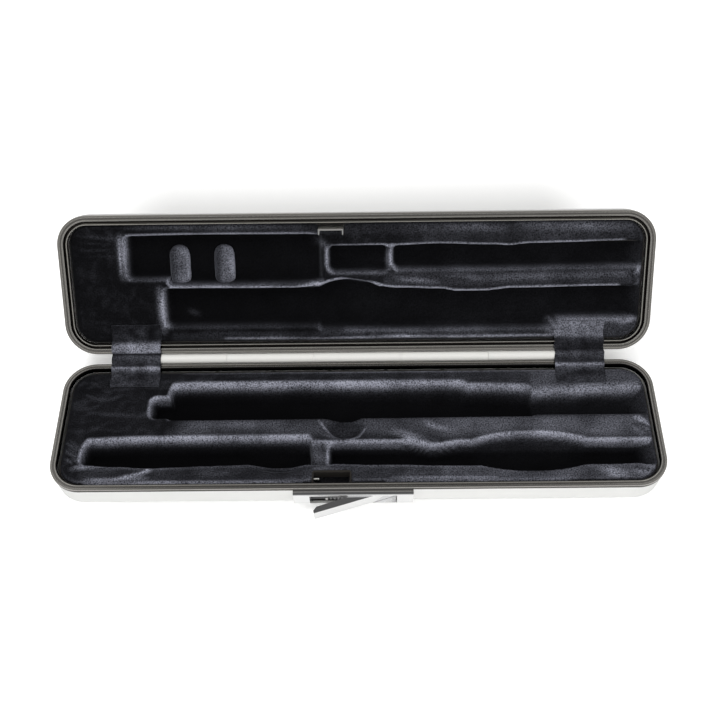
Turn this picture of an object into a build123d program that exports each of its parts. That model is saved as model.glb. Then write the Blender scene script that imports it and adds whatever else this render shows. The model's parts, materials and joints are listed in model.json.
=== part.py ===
from build123d import *
import os
from math import cos, radians, sin

# A hard flute case, open: a white moulded base and lid, each edged with a metal rim and filled with a
# velvet-covered insert, a long barrel hinge behind, two velvet straps that stop the lid, and a rocker
# latch in front whose crank slides a bolt through the lid's catch.
# Millimetres. +X runs along the case, +Y towards the hinge, +Z up. The origin is the centre of the
# base's underside. The lid is modelled lying open side up, with its own +Y towards its front edge,
# and is then turned about the hinge axis.

os.makedirs("parts", exist_ok=True)

# ---- the case as a whole ----
CASE_LENGTH = 440.0       # over the rims
CASE_DEPTH = 106.0        # over the rims, latch side to hinge side
BASE_HEIGHT = 27.0        # underside to the rim face
LID_HEIGHT = 20.0         # rim face to the outside of the lid
CORNER_RADIUS = 23.0      # of the rims, seen from above
RIM_GAP = 0.3             # between the two rim faces when the case is shut
LID_OPEN = 128.8          # degrees the lid has turned when the straps stop it

# ---- shells ----
SHELL_INSET = 0.9         # the shell's outer face, inside the rim's outer face
SHELL_WALL = 2.2
SHELL_ROUND = 8.0         # where the side walls turn into the floor
FIT = 0.1                 # clearance of pieces that are pressed or glued together

# ---- rims: drawn sections that grip the edge of each shell ----
RIM_SKIN = 0.8            # thickness of the skirt and the web
RIM_SKIRT = 3.0           # how far the skirt reaches down the shell
RIM_LEG = 4.6             # how far the inner leg reaches down the shell
BEAD_HEIGHT = 0.7         # the two beads stand this far above the groove between them
BEAD_ROUND = 0.3
OUTER_BEAD = 1.8          # widths of the beads, across the rim
BASE_RIM_WIDTH = 4.5
LID_BEADS_WIDTH = 4.3
LID_CHANNEL = 2.1         # the deep channel inside the lid's beads
LID_CHANNEL_DEPTH = 3.2
LID_LIP = 0.8             # the thin lip inside that channel

# ---- velvet-covered inserts ----
PILE = 1.2                # thickness of the velvet
GLUE = 0.05               # between the velvet and its core
BASE_INSERT_INSET = 5.8   # the insert's side, inside the rim's outer face
LID_INSERT_GAP = 0.4      # between the lid's lip and its insert
INSERT_ROUND = 4.5        # lower edge of each core
BASE_SUNK = 3.0           # the velvet land lies this far below the rim face
LID_SUNK = 4.0
CORE_FLOOR = 1.4          # core left under a pocket
CORE_SEAM_IN = 0.2        # catch's left ear to the core's seam beside it
CORE_SEAM_OUT = 5.0       # end of the lip plate's oval to the core's seam beyond it
POCKET_CORNER = 5.0       # round of a pocket's floor

# ---- pockets of the base: one joint of the flute in each ----
END_LEFT = 20.0           # case end to the foot joint's pocket
END_RIGHT = 5.9           # case end to the right-hand pockets, at the land
END_LEAN = 13.0           # how far those end walls lean in by the floor
FOOT_LENGTH = 167.0
DIVIDER = 12.0            # between the foot and head pockets
DIVIDER_DROP = 5.0        # its saddle lies this far below the land
FRONT_RIDGE = 20.0        # case front to the front pockets
FRONT_ROW = 24.4          # width of the front pockets at the land
FRONT_LEAN = 8.0          # lean of their back wall
MIDDLE_RIDGE = 14.1       # between the front and back rows
BODY_LEFT = 79.0          # case end to the body joint's pocket
BODY_LENGTH = 273.0       # its wide part
BODY_WIDTH = 32.5
BODY_LEAN = 10.0
TENON_LENGTH = 13.0       # narrow part at its left end
TENON_WIDTH = 17.5
SOCKET_WIDTH = 28.5       # shallower part at its right end
SOCKET_RISE = 5.0
WALL_LEAN = 1.5
LIP_PLATE_X = 125.0       # centre of the wide oval for the lip plate
LIP_PLATE_LENGTH = 104.0
LIP_PLATE_WIDTH = 30.8
LIP_PLATE_RISE = 6.0
NOTCH_X = -12.5           # finger notch in the middle ridge
NOTCH_LENGTH = 37.0
NOTCH_WIDTH = 22.0
NOTCH_DEPTH = 9.0
FRONT_NOTCH_X = -56.0     # shallower one in the front ridge
FRONT_NOTCH_LENGTH = 46.0
FRONT_NOTCH_WIDTH = 12.0
FRONT_NOTCH_DEPTH = 7.0

# ---- pockets of the lid, from its own centre; +Y is its front edge ----
LID_MARGIN = 16.0         # lid front to the upper pocket
LID_LEFT = 49.0           # case end to the upper pocket
LID_STEP = 30.0           # length of that pocket's narrow left part
LID_STEP_WIDTH = 33.2
LID_UPPER_END = -24.0     # right end of the upper pocket
LID_UPPER_WIDTH = 38.5
LID_RIDGE = 2.0           # thin ridge between the upper and lower pockets
LID_SUB_LENGTH = 44.5     # small pocket right of the upper one
LID_SUB_WIDTH = 21.0
LID_SUB_WALL = 3.0
LID_RIGHT_WIDTH = 19.0    # long pocket right of the small one
LID_TOP_BAND = 25.0       # lid front to the small and the long pocket
LID_LOWER_LEFT = 75.0     # case end to the lower pocket
LID_LOWER_BAND = 19.0     # lid back to the lower pocket
LID_DROP_LEFT = -30.0     # from here to the right that pocket is wider towards the hinge
LID_DROP = 3.5
LID_LOWER_RIDGE = 1.2     # the lower pocket draws back this much right of centre
LID_BLOCK_LEFT = 150.0    # a raised block narrows its right end from here
LID_BLOCK = 8.2
LID_OVAL_X = -6.0         # centre of the wide oval across the lower pocket
LID_OVAL_LENGTH = 62.0
LID_OVAL_WIDTH = 37.0
LID_OVAL_UP = 2.9         # its centre above the pocket's middle
LID_OVAL_RISE = 1.0       # its floor above the pocket's
LID_END = 9.0             # case end to the long pockets' right ends, at the land
LID_END_LEAN = 12.0       # how far those end walls lean in by the floor
LID_WALL_LEAN = 1.0
LID_POCKET_CORNER = 1.5
PAD_WIDTH = 15.0          # the two rounded pads across the upper pocket
PAD_LENGTH = 27.0
PAD_HEIGHT = 8.0
PAD_LEFT = 81.7           # case end to the first pad
PAD_PITCH = 33.5
PAD_COUNT = 2

# ---- hinge ----
BARREL_RADIUS = 3.4
BARREL_OUT = 4.0          # hinge axis behind the rims' outer face
HINGE_LENGTH = 330.0
KNUCKLES = 5
KNUCKLE_GAP = 0.2
HINGE_PIN_RADIUS = 1.5
PIN_FIT = 0.05            # radial clearance of a turning pin
LEAF = 1.0                # leaf thickness
LEAF_REACH = 12.0         # leaf from the hinge axis down the shell
LEAF_START = 2.55         # leaf edge from the hinge axis
RIVETS = 8                # on each leaf
RIVET_PITCH = 42.8
RIVET_DROP = 8.3          # rivet line from the hinge axis
RIVET_SHANK = 1.0
RIVET_HEAD = 2.2
RIVET_DOME = 0.8

# ---- latch housing: a cast frame with a window ----
HOUSING_X = -3.4          # its centre along the case
HOUSING_LENGTH = 85.0
HOUSING_HEIGHT = 13.4
HOUSING_PROUD = 4.0       # its face, in front of the rim's outer face
HOUSING_DROP = 3.1        # its top, below the rim face
HOUSING_ROUND = 0.5
WINDOW_SIDE = 11.7        # housing left each side of the window
WINDOW_TOP = 1.5
WINDOW_BOTTOM = 1.1
STUD_RADIUS = 1.2
STUD_END = 5.8            # stud from the housing's end
STUD_SINK = 2.0
STUD_HEAD = 2.0

# ---- latch lever: a rocker that lies flush in the window ----
LEVER_OPEN = 17.3         # degrees open in the photographed position
LEVER_TRAVEL = 22.0       # degrees from shut to its stop
LEVER_SIDE = 0.5          # lever to the window's ends
LEVER_EDGE = 0.3          # lever to the window's top and bottom
LEVER_THICK = 5.0         # at the middle
LEVER_TIP = 4.4
LEVER_TAIL = 2.2
TIP_CHAMFER = 3.0
PIVOT_IN = 17.0           # pivot from the lever's right end
PIVOT_BACK = 3.4          # pivot behind the lever's face
PIVOT_RADIUS = 1.2
BOSS_RADIUS = 2.3
CRANK = 6.5               # pivot to the crank's round end
CRANK_RADIUS = 0.9
CRANK_WEB = 1.0
CRANK_HEIGHT = 3.6

# ---- latch plate, bolt and spring behind the lever ----
PLATE = 0.8
PLATE_SIDE = 3.0          # plate inside the housing's ends
PLATE_RAIL = 2.9          # its rail runs under the lever, with a pad at each stud
BAR_THICK = 1.5
BAR_HEIGHT = 5.6
BAR_FIT = 0.15
BAR_RIGHT = 9.5           # bar past the pivot
GUIDE_WIDTH = 3.0
GUIDE_LEFT = 12.0         # left guide from the pivot
GUIDE_WALL = 0.85
ARM_WIDTH = 1.6
NOSE_RADIUS = 0.95
NOSE_OVER = 0.5           # the shut bolt's nose past the catch's ear
NOSE_REACH = 3.5          # arm to the ear when shut
LUG_WIDTH = 1.7
SPRING_WIRE = 0.28        # wire radius
SPRING_RADIUS = 1.5       # to the middle of the wire
SPRING_TURNS = 6
SPRING_REST = 16.7        # its length with the lever open
SPRING_SEAT = 0.04

# ---- catch in the lid ----
CATCH_LEFT = 18.7         # catch's left ear from the housing's left end
CATCH_LENGTH = 18.1
CATCH_SHEET = 0.8
CATCH_BACK = 9.8          # its face from the lid's front
CATCH_EAR = 4.0           # ears, front to back
CATCH_REACH = 11.5        # below the base's rim face when shut
CATCH_HOLE_DROP = 9.2
CATCH_HOLE = 1.2
CATCH_HOLE_BACK = 2.2     # hole from the catch's face
CATCH_SCREW = 1.0
CATCH_SCREW_HEAD = 1.5
CATCH_SCREW_LENGTH = 5.0
CATCH_SCREW_IN = 4.8      # screw from the catch's end
RECESS_SIDE = 4.5         # room left of the catch
RECESS_RIGHT = 3.2
RECESS_BACK = 1.0
RECESS_DEPTH = 14.0       # below the base's rim face

# ---- straps ----
STRAP_WIDTH = 37.0
STRAP_THICK = 1.3
STRAP_END = 52.5          # case end to the strap's centre
STRAP_TAB = 12.0          # tab glued along each land
STRAP_LIFT = 0.1

# ---- worked out from the values above ----
HALF_LENGTH = CASE_LENGTH / 2
HALF_DEPTH = CASE_DEPTH / 2
RIM_FLOOR = BEAD_HEIGHT + RIM_SKIN               # rim face to the shell's edge
SHELL_INNER = SHELL_INSET + SHELL_WALL
CORE_BOTTOM = SHELL_WALL + FIT
BASE_LAND = BASE_HEIGHT - BASE_SUNK
LID_LAND = LID_HEIGHT - LID_SUNK
LID_RIM_WIDTH = LID_BEADS_WIDTH + LID_CHANNEL + LID_LIP
LID_INSERT_INSET = LID_RIM_WIDTH + LID_INSERT_GAP
LINING = PILE + GLUE
POCKET_FLOOR = CORE_BOTTOM + CORE_FLOOR + LINING
BASE_DEEP = BASE_LAND - POCKET_FLOOR
LID_DEEP = LID_LAND - POCKET_FLOOR

HINGE_Y = HALF_DEPTH + BARREL_OUT
HINGE_Z = BASE_HEIGHT + RIM_GAP / 2
LID_AXIS_Z = LID_HEIGHT + RIM_GAP / 2            # the hinge axis in the lid's own frame
LID_TURN = 180 - LID_OPEN
LID_PLACE = Pos(0, HINGE_Y, HINGE_Z) * Rot(LID_TURN, 0, 0) * Pos(0, HINGE_Y, -LID_AXIS_Z)

FACE_Y = -HALF_DEPTH - HOUSING_PROUD
SHELL_FRONT = -HALF_DEPTH + SHELL_INSET
HOUSING_TOP = BASE_HEIGHT - HOUSING_DROP
HOUSING_LEFT = HOUSING_X - HOUSING_LENGTH / 2
HOUSING_RIGHT = HOUSING_X + HOUSING_LENGTH / 2
WINDOW_LEFT = HOUSING_LEFT + WINDOW_SIDE
WINDOW_RIGHT = HOUSING_RIGHT - WINDOW_SIDE
WINDOW_Z1 = HOUSING_TOP - WINDOW_TOP
WINDOW_Z0 = HOUSING_TOP - HOUSING_HEIGHT + WINDOW_BOTTOM
LATCH_Z = (WINDOW_Z0 + WINDOW_Z1) / 2
LEVER_LEFT = WINDOW_LEFT + LEVER_SIDE
LEVER_RIGHT = WINDOW_RIGHT - LEVER_SIDE
PIVOT_X = LEVER_RIGHT - PIVOT_IN
PIVOT_Y = FACE_Y + PIVOT_BACK
LEVER_PLACE = Pos(PIVOT_X, PIVOT_Y, 0) * Rot(0, 0, LEVER_OPEN) * Pos(-PIVOT_X, -PIVOT_Y, 0)
CRANK_LEAD = LEVER_TRAVEL / 2                    # the crank points straight back at half travel
CRANK_X = PIVOT_X + CRANK * sin(radians(CRANK_LEAD))
BAR_Y = PIVOT_Y + CRANK                          # middle of the bar, front to back
BAR_Z0 = LATCH_Z - BAR_HEIGHT / 2
BAR_Z1 = LATCH_Z + BAR_HEIGHT / 2
CRANK_SHIFT = CRANK * (sin(radians(CRANK_LEAD)) + sin(radians(LEVER_OPEN - CRANK_LEAD)))
CATCH_X0 = HOUSING_LEFT + CATCH_LEFT
CATCH_X1 = CATCH_X0 + CATCH_LENGTH
CATCH_Y = -HALF_DEPTH + CATCH_BACK               # the catch's face, shut
CATCH_HOLE_Y = CATCH_Y + CATCH_HOLE_BACK
CATCH_HOLE_Z = BASE_HEIGHT - CATCH_HOLE_DROP
CORE_SEAMS = (                                    # between the four front blocks of the base's core
    -CASE_LENGTH,
    CATCH_X0 + CORE_SEAM_IN,
    CATCH_X1 + RECESS_RIGHT,
    LIP_PLATE_X + LIP_PLATE_LENGTH / 2 + CORE_SEAM_OUT,
    CASE_LENGTH,
)
ARM_X0 = CATCH_X0 - NOSE_REACH - ARM_WIDTH + CATCH_SHEET
PLATE_Y = -HALF_DEPTH + SHELL_INNER + FIT        # the plate's front face


def slab(inset, z0, z1):
    """The case's rounded outline, drawn in by inset, from z0 to z1."""
    outline = RectangleRounded(CASE_LENGTH - 2 * inset, CASE_DEPTH - 2 * inset, CORNER_RADIUS - inset)
    return Pos(0, 0, z0) * extrude(outline, z1 - z0)


def ring(outer, inner, z0, z1):
    """A band that follows the case's outline between two insets."""
    return slab(outer, z0, z1) - slab(inner, z0, z1)


def block(x, y, z):
    """A box from three spans."""
    size = [high - low for low, high in (x, y, z)]
    middle = [(low + high) / 2 for low, high in (x, y, z)]
    return Pos(*middle) * Box(*size)


def rod(axis, radius, start, end):
    """A round rod along an axis of the case, between two points."""
    length = end[axis] - start[axis]
    turn = (Rot(0, 90, 0), Rot(-90, 0, 0), Rot(0, 0, 0))[axis]
    middle = [(a + b) / 2 for a, b in zip(start, end)]
    return Pos(*middle) * turn * Cylinder(radius, length)


# ---- shells and rims ----


def moulded_shell(height):
    """An open tray with a rounded floor edge, floor down."""
    edge = height - RIM_FLOOR - FIT
    outer = slab(SHELL_INSET, 0, edge)
    outer = fillet(outer.faces().sort_by(Axis.Z)[0].edges(), SHELL_ROUND)
    inner = slab(SHELL_INNER, SHELL_WALL, height)
    inner = fillet(inner.faces().sort_by(Axis.Z)[0].edges(), SHELL_ROUND - SHELL_WALL)
    return outer - inner


def rounded_beads(rim, height):
    """Rounds the edges of the beads, where the two rims face each other."""
    return fillet(rim.edges().filter_by_position(Axis.Z, height - 0.01, height + 0.01), BEAD_ROUND)


def rim_grip(width, height):
    """The channel that both rims share: skirt, web, two beads and inner leg."""
    grip = ring(0, width, height - RIM_FLOOR, height - BEAD_HEIGHT)
    grip += ring(0, OUTER_BEAD, height - RIM_FLOOR, height)
    grip += ring(0, RIM_SKIN, height - RIM_SKIRT, height - BEAD_HEIGHT)
    grip += ring(SHELL_INNER + FIT, width, height - RIM_LEG, height)
    return grip


def base_rim():
    return rounded_beads(rim_grip(BASE_RIM_WIDTH, BASE_HEIGHT), BASE_HEIGHT)


def lid_rim():
    floor = LID_HEIGHT - LID_CHANNEL_DEPTH
    rim = rim_grip(LID_BEADS_WIDTH, LID_HEIGHT)
    rim += ring(LID_BEADS_WIDTH - RIM_SKIN, LID_RIM_WIDTH, floor - RIM_SKIN, floor)
    rim += ring(LID_RIM_WIDTH - LID_LIP, LID_RIM_WIDTH, floor - RIM_SKIN, LID_HEIGHT)
    return rounded_beads(rim, LID_HEIGHT)


def leaf_holes(height, front):
    """The rivet holes through a shell's hinge-side wall; front is -1 in the lid's own frame."""
    z = height + RIM_GAP / 2 - RIVET_DROP
    holes = []
    for x in rivet_places():
        y = front * HALF_DEPTH
        inner = y - front * (SHELL_INNER + LEAF)
        low, high = sorted((y + front * LEAF, inner))
        holes.append(rod(1, RIVET_SHANK + FIT, (x, low, z), (x, high, z)))
    return holes


def base_shell():
    shell = moulded_shell(BASE_HEIGHT) - leaf_holes(BASE_HEIGHT, 1)
    wall = (SHELL_FRONT - SHELL_WALL, SHELL_FRONT + 2 * SHELL_WALL)
    opening = block((WINDOW_LEFT - FIT, WINDOW_RIGHT + FIT), wall, (WINDOW_Z0 - FIT, WINDOW_Z1 + FIT))
    studs = [rod(1, STUD_RADIUS + FIT, (x, wall[0], LATCH_Z), (x, wall[1], LATCH_Z)) for x in stud_places()]
    return shell - opening - studs


def lid_shell():
    return moulded_shell(LID_HEIGHT) - leaf_holes(LID_HEIGHT, -1)


# ---- inserts ----


def wall_profile(span, depth, lean, grow):
    """A pocket's section, mouth at zero: straight above the land, with leaning walls below it."""
    low, high = span[0] - grow, span[1] + grow
    floor = -depth - grow
    mouth = BASE_SUNK + LID_SUNK
    points = [(low, mouth), (low, 0), (low + lean[0], floor), (high - lean[1], floor), (high, 0), (high, mouth)]
    return make_face(Polyline(*points, close=True))


def pocket(x, y, depth, land, lean, corner, grow):
    """A trough below the land with a rounded floor edge. x and y are its spans at the land; lean is
    for its left, right, front and back walls."""
    across = wall_profile(y, depth, lean[2:], grow)
    along = wall_profile(x, depth, lean[:2], grow)
    trough = extrude(Plane.YZ * across, CASE_LENGTH, both=True) & extrude(
        Plane.XZ * along, CASE_LENGTH, both=True
    )
    floor_width = y[1] - y[0] - lean[2] - lean[3]
    rounding = min(corner + grow, 0.4 * floor_width, 0.8 * depth)
    return Pos(0, 0, land) * fillet(trough.faces().sort_by(Axis.Z)[0].edges(), rounding)


def oval(x, y, length, width, depth, land, grow):
    """An upright oval pocket."""
    floor = land - depth - grow
    top = land + BASE_SUNK
    return Pos(x, y, floor) * extrude(Ellipse(length / 2 + grow, width / 2 + grow), top - floor)


def base_pockets(grow):
    """Everything pressed into the base's velvet: foot, head and body joints, lip plate and notch."""
    even = (WALL_LEAN, WALL_LEAN, WALL_LEAN, WALL_LEAN)
    right = HALF_LENGTH - END_RIGHT
    front = -HALF_DEPTH + FRONT_RIDGE
    row_back = front + FRONT_ROW
    foot_x = (-HALF_LENGTH + END_LEFT, -HALF_LENGTH + END_LEFT + FOOT_LENGTH)
    head_x = (foot_x[1] + DIVIDER, right)
    foot_lean = (WALL_LEAN, WALL_LEAN, WALL_LEAN, FRONT_LEAN)
    foot = pocket(foot_x, (front, row_back), BASE_DEEP, BASE_LAND, foot_lean, POCKET_CORNER, grow)
    head_y = (front, row_back - FRONT_LEAN + 2 * WALL_LEAN)
    head_lean = (WALL_LEAN, END_LEAN, WALL_LEAN, WALL_LEAN)
    head = pocket(head_x, head_y, BASE_DEEP, BASE_LAND, head_lean, POCKET_CORNER, grow)
    lip_y = (head_y[0] + head_y[1]) / 2
    lip_depth = BASE_DEEP - LIP_PLATE_RISE
    lip = oval(LIP_PLATE_X, lip_y, LIP_PLATE_LENGTH, LIP_PLATE_WIDTH, lip_depth, BASE_LAND, grow)
    saddle_x = (foot_x[1] - POCKET_CORNER, head_x[0] + POCKET_CORNER)
    saddle = pocket(saddle_x, head_y, DIVIDER_DROP, BASE_LAND, even, POCKET_CORNER, grow)
    body_y = (row_back + MIDDLE_RIDGE, row_back + MIDDLE_RIDGE + BODY_WIDTH)
    body_x = (-HALF_LENGTH + BODY_LEFT, -HALF_LENGTH + BODY_LEFT + BODY_LENGTH)
    body_lean = (WALL_LEAN, WALL_LEAN, WALL_LEAN, BODY_LEAN)
    body = pocket(body_x, body_y, BASE_DEEP, BASE_LAND, body_lean, POCKET_CORNER, grow)
    tenon_x = (body_x[0] - TENON_LENGTH, body_x[0] + 2 * POCKET_CORNER)
    tenon_y = (body_y[0] + WALL_LEAN, body_y[0] + WALL_LEAN + TENON_WIDTH)
    tenon = pocket(tenon_x, tenon_y, BASE_DEEP - WALL_LEAN, BASE_LAND, even, POCKET_CORNER, grow)
    socket_x = (body_x[1] - 2 * POCKET_CORNER, right)
    socket_y = (body_y[0] + WALL_LEAN, body_y[0] + WALL_LEAN + SOCKET_WIDTH)
    socket_lean = (WALL_LEAN, END_LEAN, 2 * WALL_LEAN, BODY_LEAN)
    socket = pocket(socket_x, socket_y, BASE_DEEP - SOCKET_RISE, BASE_LAND, socket_lean, POCKET_CORNER, grow)
    notch_y = row_back + MIDDLE_RIDGE / 2
    notch = oval(NOTCH_X, notch_y, NOTCH_LENGTH, NOTCH_WIDTH, NOTCH_DEPTH, BASE_LAND, grow)
    front_notch = oval(
        FRONT_NOTCH_X, front, FRONT_NOTCH_LENGTH, FRONT_NOTCH_WIDTH, FRONT_NOTCH_DEPTH, BASE_LAND, grow
    )
    return foot + [head, lip, saddle, body, tenon, socket, notch, front_notch]


def lid_pockets(grow):
    """Everything pressed into the lid's velvet, in the lid's own frame."""
    even = (LID_WALL_LEAN, LID_WALL_LEAN, LID_WALL_LEAN, LID_WALL_LEAN)
    top = HALF_DEPTH - LID_MARGIN
    right = HALF_LENGTH - LID_END
    left = -HALF_LENGTH + LID_LEFT
    upper_y = (top - LID_UPPER_WIDTH, top)
    end = (LID_WALL_LEAN, LID_END_LEAN, LID_WALL_LEAN, LID_WALL_LEAN)
    spans = []
    spans.append(((left, left + LID_STEP + 2 * LID_POCKET_CORNER), (top - LID_STEP_WIDTH, top), even))
    spans.append(((left + LID_STEP, LID_UPPER_END), upper_y, even))
    band = HALF_DEPTH - LID_TOP_BAND
    sub_x = (LID_UPPER_END + LID_SUB_WALL, LID_UPPER_END + LID_SUB_WALL + LID_SUB_LENGTH)
    spans.append((sub_x, (band - LID_SUB_WIDTH, band), even))
    spans.append(((sub_x[1] + LID_SUB_WALL, right), (band - LID_RIGHT_WIDTH, band), end))
    lower_y = (-HALF_DEPTH + LID_LOWER_BAND, upper_y[0] - LID_RIDGE)
    lower_left = -HALF_LENGTH + LID_LOWER_LEFT
    lower_top = lower_y[1] - LID_LOWER_RIDGE
    spans.append(((lower_left, sub_x[1]), lower_y, even))
    drop = lower_y[0] - LID_DROP
    spans.append(((LID_DROP_LEFT, LID_BLOCK_LEFT), (drop, lower_top), even))
    block_left = LID_BLOCK_LEFT - 4 * LID_POCKET_CORNER
    spans.append(((block_left, right), (drop + LID_BLOCK, lower_top), end))
    troughs = [pocket(x, y, LID_DEEP, LID_LAND, lean, LID_POCKET_CORNER, grow) for x, y, lean in spans]
    oval_y = (lower_y[0] + lower_y[1]) / 2 + LID_OVAL_UP
    oval_depth = LID_DEEP - LID_OVAL_RISE
    troughs.append(oval(LID_OVAL_X, oval_y, LID_OVAL_LENGTH, LID_OVAL_WIDTH, oval_depth, LID_LAND, grow))
    return troughs[0] + troughs[1:]


def rounded_block(inset, top):
    """The insert's outer form, which clears the shell's rounded floor edge."""
    body = slab(inset, CORE_BOTTOM, top)
    return fillet(body.faces().sort_by(Axis.Z)[0].edges(), INSERT_ROUND)


def insert_core(inset, land, pockets):
    """The firm core under the velvet."""
    return rounded_block(inset, land - LINING) - pockets(LINING)


def insert_velvet(inset, land, pockets):
    """A skin of velvet over the core's top and down into every pocket."""
    backing = rounded_block(inset, land - PILE) - pockets(PILE)
    return rounded_block(inset, land) - pockets(0) - backing


def catch_recess():
    """Where the catch drops in beside the bolt: a mouth in the velvet over a wider hollow."""
    front = -HALF_DEPTH + BASE_INSERT_INSET - FIT
    back = CATCH_Y + CATCH_EAR + RECESS_BACK
    floor = BASE_HEIGHT - RECESS_DEPTH
    mouth_x = (CATCH_X0 - RECESS_SIDE, CATCH_X1 + RECESS_RIGHT)
    mouth = block(mouth_x, (front, back), (floor, BASE_HEIGHT))
    hollow_x = (ARM_X0 - CRANK_SHIFT - 2 * RECESS_BACK, CATCH_X1 + RECESS_RIGHT)
    hollow = block(hollow_x, (front, back), (floor, BASE_LAND - 2 * LINING))
    return mouth + hollow


def latch_hollow():
    """Room in the core for the bar and its guides."""
    front = -HALF_DEPTH + BASE_INSERT_INSET - FIT
    back = BAR_Y + BAR_THICK / 2 + GUIDE_WALL + 2 * BAR_FIT + FIT
    x = (ARM_X0 - CRANK_SHIFT - 2 * RECESS_BACK, PIVOT_X + BAR_RIGHT + 2 * RECESS_BACK)
    return block(x, (front, back), (BAR_Z0 - 2 * GUIDE_WALL, BAR_Z1 + 2 * GUIDE_WALL))


def front_core(block_number):
    """One of the four blocks in the front half of the base's core, counted from the left."""
    return base_core(-1, CORE_SEAMS[block_number], CORE_SEAMS[block_number + 1])


def base_core(side, left=-CASE_LENGTH, right=CASE_LENGTH):
    """The base's core is glued up from blocks that meet along the middle ridge. side is -1 for the front."""
    seam = -HALF_DEPTH + FRONT_RIDGE + FRONT_ROW + MIDDLE_RIDGE / 2
    across = sorted((seam + side * GLUE / 2, side * CASE_DEPTH))
    core = insert_core(BASE_INSERT_INSET, BASE_LAND, base_pockets) - catch_recess() - latch_hollow()
    return core & block((left + GLUE / 2, right - GLUE / 2), across, (0, BASE_HEIGHT))


def base_velvet():
    return insert_velvet(BASE_INSERT_INSET, BASE_LAND, base_pockets) - catch_recess()


def catch_slot():
    """Room in the lid's insert for the catch and its foot."""
    x = (CATCH_X0 - FIT, CATCH_X1 + FIT)
    face = HALF_DEPTH - CATCH_BACK
    stem = block(x, (face - CATCH_EAR - FIT, face + FIT), (LID_LAND - 2 * LINING, LID_HEIGHT))
    return stem


def lid_core():
    core = insert_core(LID_INSERT_INSET, LID_LAND, lid_pockets) - catch_slot()
    return core - [rod(2, CATCH_SCREW + FIT, *ends) for ends in catch_screw_ends()]


def lid_velvet():
    return insert_velvet(LID_INSERT_INSET, LID_LAND, lid_pockets) - catch_slot()


def lid_pads():
    """Two rounded pads that press on the body joint through the lid's upper pocket."""
    floor = POCKET_FLOOR + FIT
    width = PAD_WIDTH - 2 * FIT
    top = HALF_DEPTH - LID_MARGIN - LID_UPPER_WIDTH + LID_WALL_LEAN + LID_POCKET_CORNER
    pads = []
    for number in range(PAD_COUNT):
        x = -HALF_LENGTH + PAD_LEFT + PAD_WIDTH / 2 + number * PAD_PITCH
        dome = Pos(x, top, floor) * Rot(-90, 0, 0) * extrude(Ellipse(width / 2, PAD_HEIGHT), PAD_LENGTH)
        pads.append(dome & block((x - width, x + width), (top, top + PAD_LENGTH), (floor, LID_HEIGHT)))
    return pads[0] + pads[1:]


# ---- hinge ----


def rivet_places():
    middle = (RIVETS - 1) / 2
    return [(number - middle) * RIVET_PITCH for number in range(RIVETS)]


def leaf(side, own):
    """One leaf with its knuckles about the X axis. side is -1 for the base's, which hangs down, and 1
    for the lid's; own picks its knuckles. The case lies towards -Y."""
    outer = -BARREL_OUT + FIT
    shell = -BARREL_OUT - SHELL_INSET + FIT / 2
    half = HINGE_LENGTH / 2
    jog = RIM_SKIRT + LEAF + RIM_GAP
    high = (LEAF_START, jog) if side > 0 else (-jog, -LEAF_START)
    low = (jog - LEAF, LEAF_REACH) if side > 0 else (-LEAF_REACH, LEAF - jog)
    sheet = block((-half, half), (shell, shell + LEAF), low)
    sheet += block((-half, half), (outer, outer + LEAF), high)
    pitch = HINGE_LENGTH / KNUCKLES
    for number in range(KNUCKLES):
        if number % 2 != own:
            continue
        x0 = -half + number * pitch + KNUCKLE_GAP / 2
        x1 = x0 + pitch - KNUCKLE_GAP
        sheet += rod(0, BARREL_RADIUS, (x0, 0, 0), (x1, 0, 0))
        sheet += block((x0, x1), (outer, 0), high)
    sheet -= rod(0, HINGE_PIN_RADIUS + PIN_FIT, (-half, 0, 0), (half, 0, 0))
    holes = []
    for x in rivet_places():
        z = side * RIVET_DROP
        holes.append(rod(1, RIVET_SHANK + FIT, (x, shell - LEAF, z), (x, shell + 2 * LEAF, z)))
    return sheet - holes


def rivet_row(side):
    """A row of rivets through a leaf and the shell behind it, about the hinge axis."""
    leaf_face = -BARREL_OUT - SHELL_INSET + FIT / 2 + LEAF
    shell_inside = -BARREL_OUT - SHELL_INNER
    z = side * RIVET_DROP
    rivets = []
    for x in rivet_places():
        shank = rod(1, RIVET_SHANK, (x, shell_inside - RIVET_DOME, z), (x, leaf_face + RIVET_DOME, z))
        dome = Pos(x, leaf_face, z) * Rot(-90, 0, 0) * Cone(RIVET_HEAD, RIVET_SHANK, RIVET_DOME, align=FOOT)
        clinch = Pos(x, shell_inside, z) * Rot(90, 0, 0) * Cylinder(RIVET_HEAD, RIVET_DOME, align=FOOT)
        rivets.append(shank + dome + clinch)
    return rivets


FOOT = (Align.CENTER, Align.CENTER, Align.MIN)
BASE_HINGE = Pos(0, HINGE_Y, HINGE_Z)
LID_HINGE = BASE_HINGE * Rot(-LID_OPEN, 0, 0)


def hinge_pin():
    half = HINGE_LENGTH / 2
    return BASE_HINGE * rod(0, HINGE_PIN_RADIUS, (-half, 0, 0), (half, 0, 0))


# ---- latch ----


def stud_places():
    return [HOUSING_LEFT + STUD_END, HOUSING_RIGHT - STUD_END]


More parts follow.
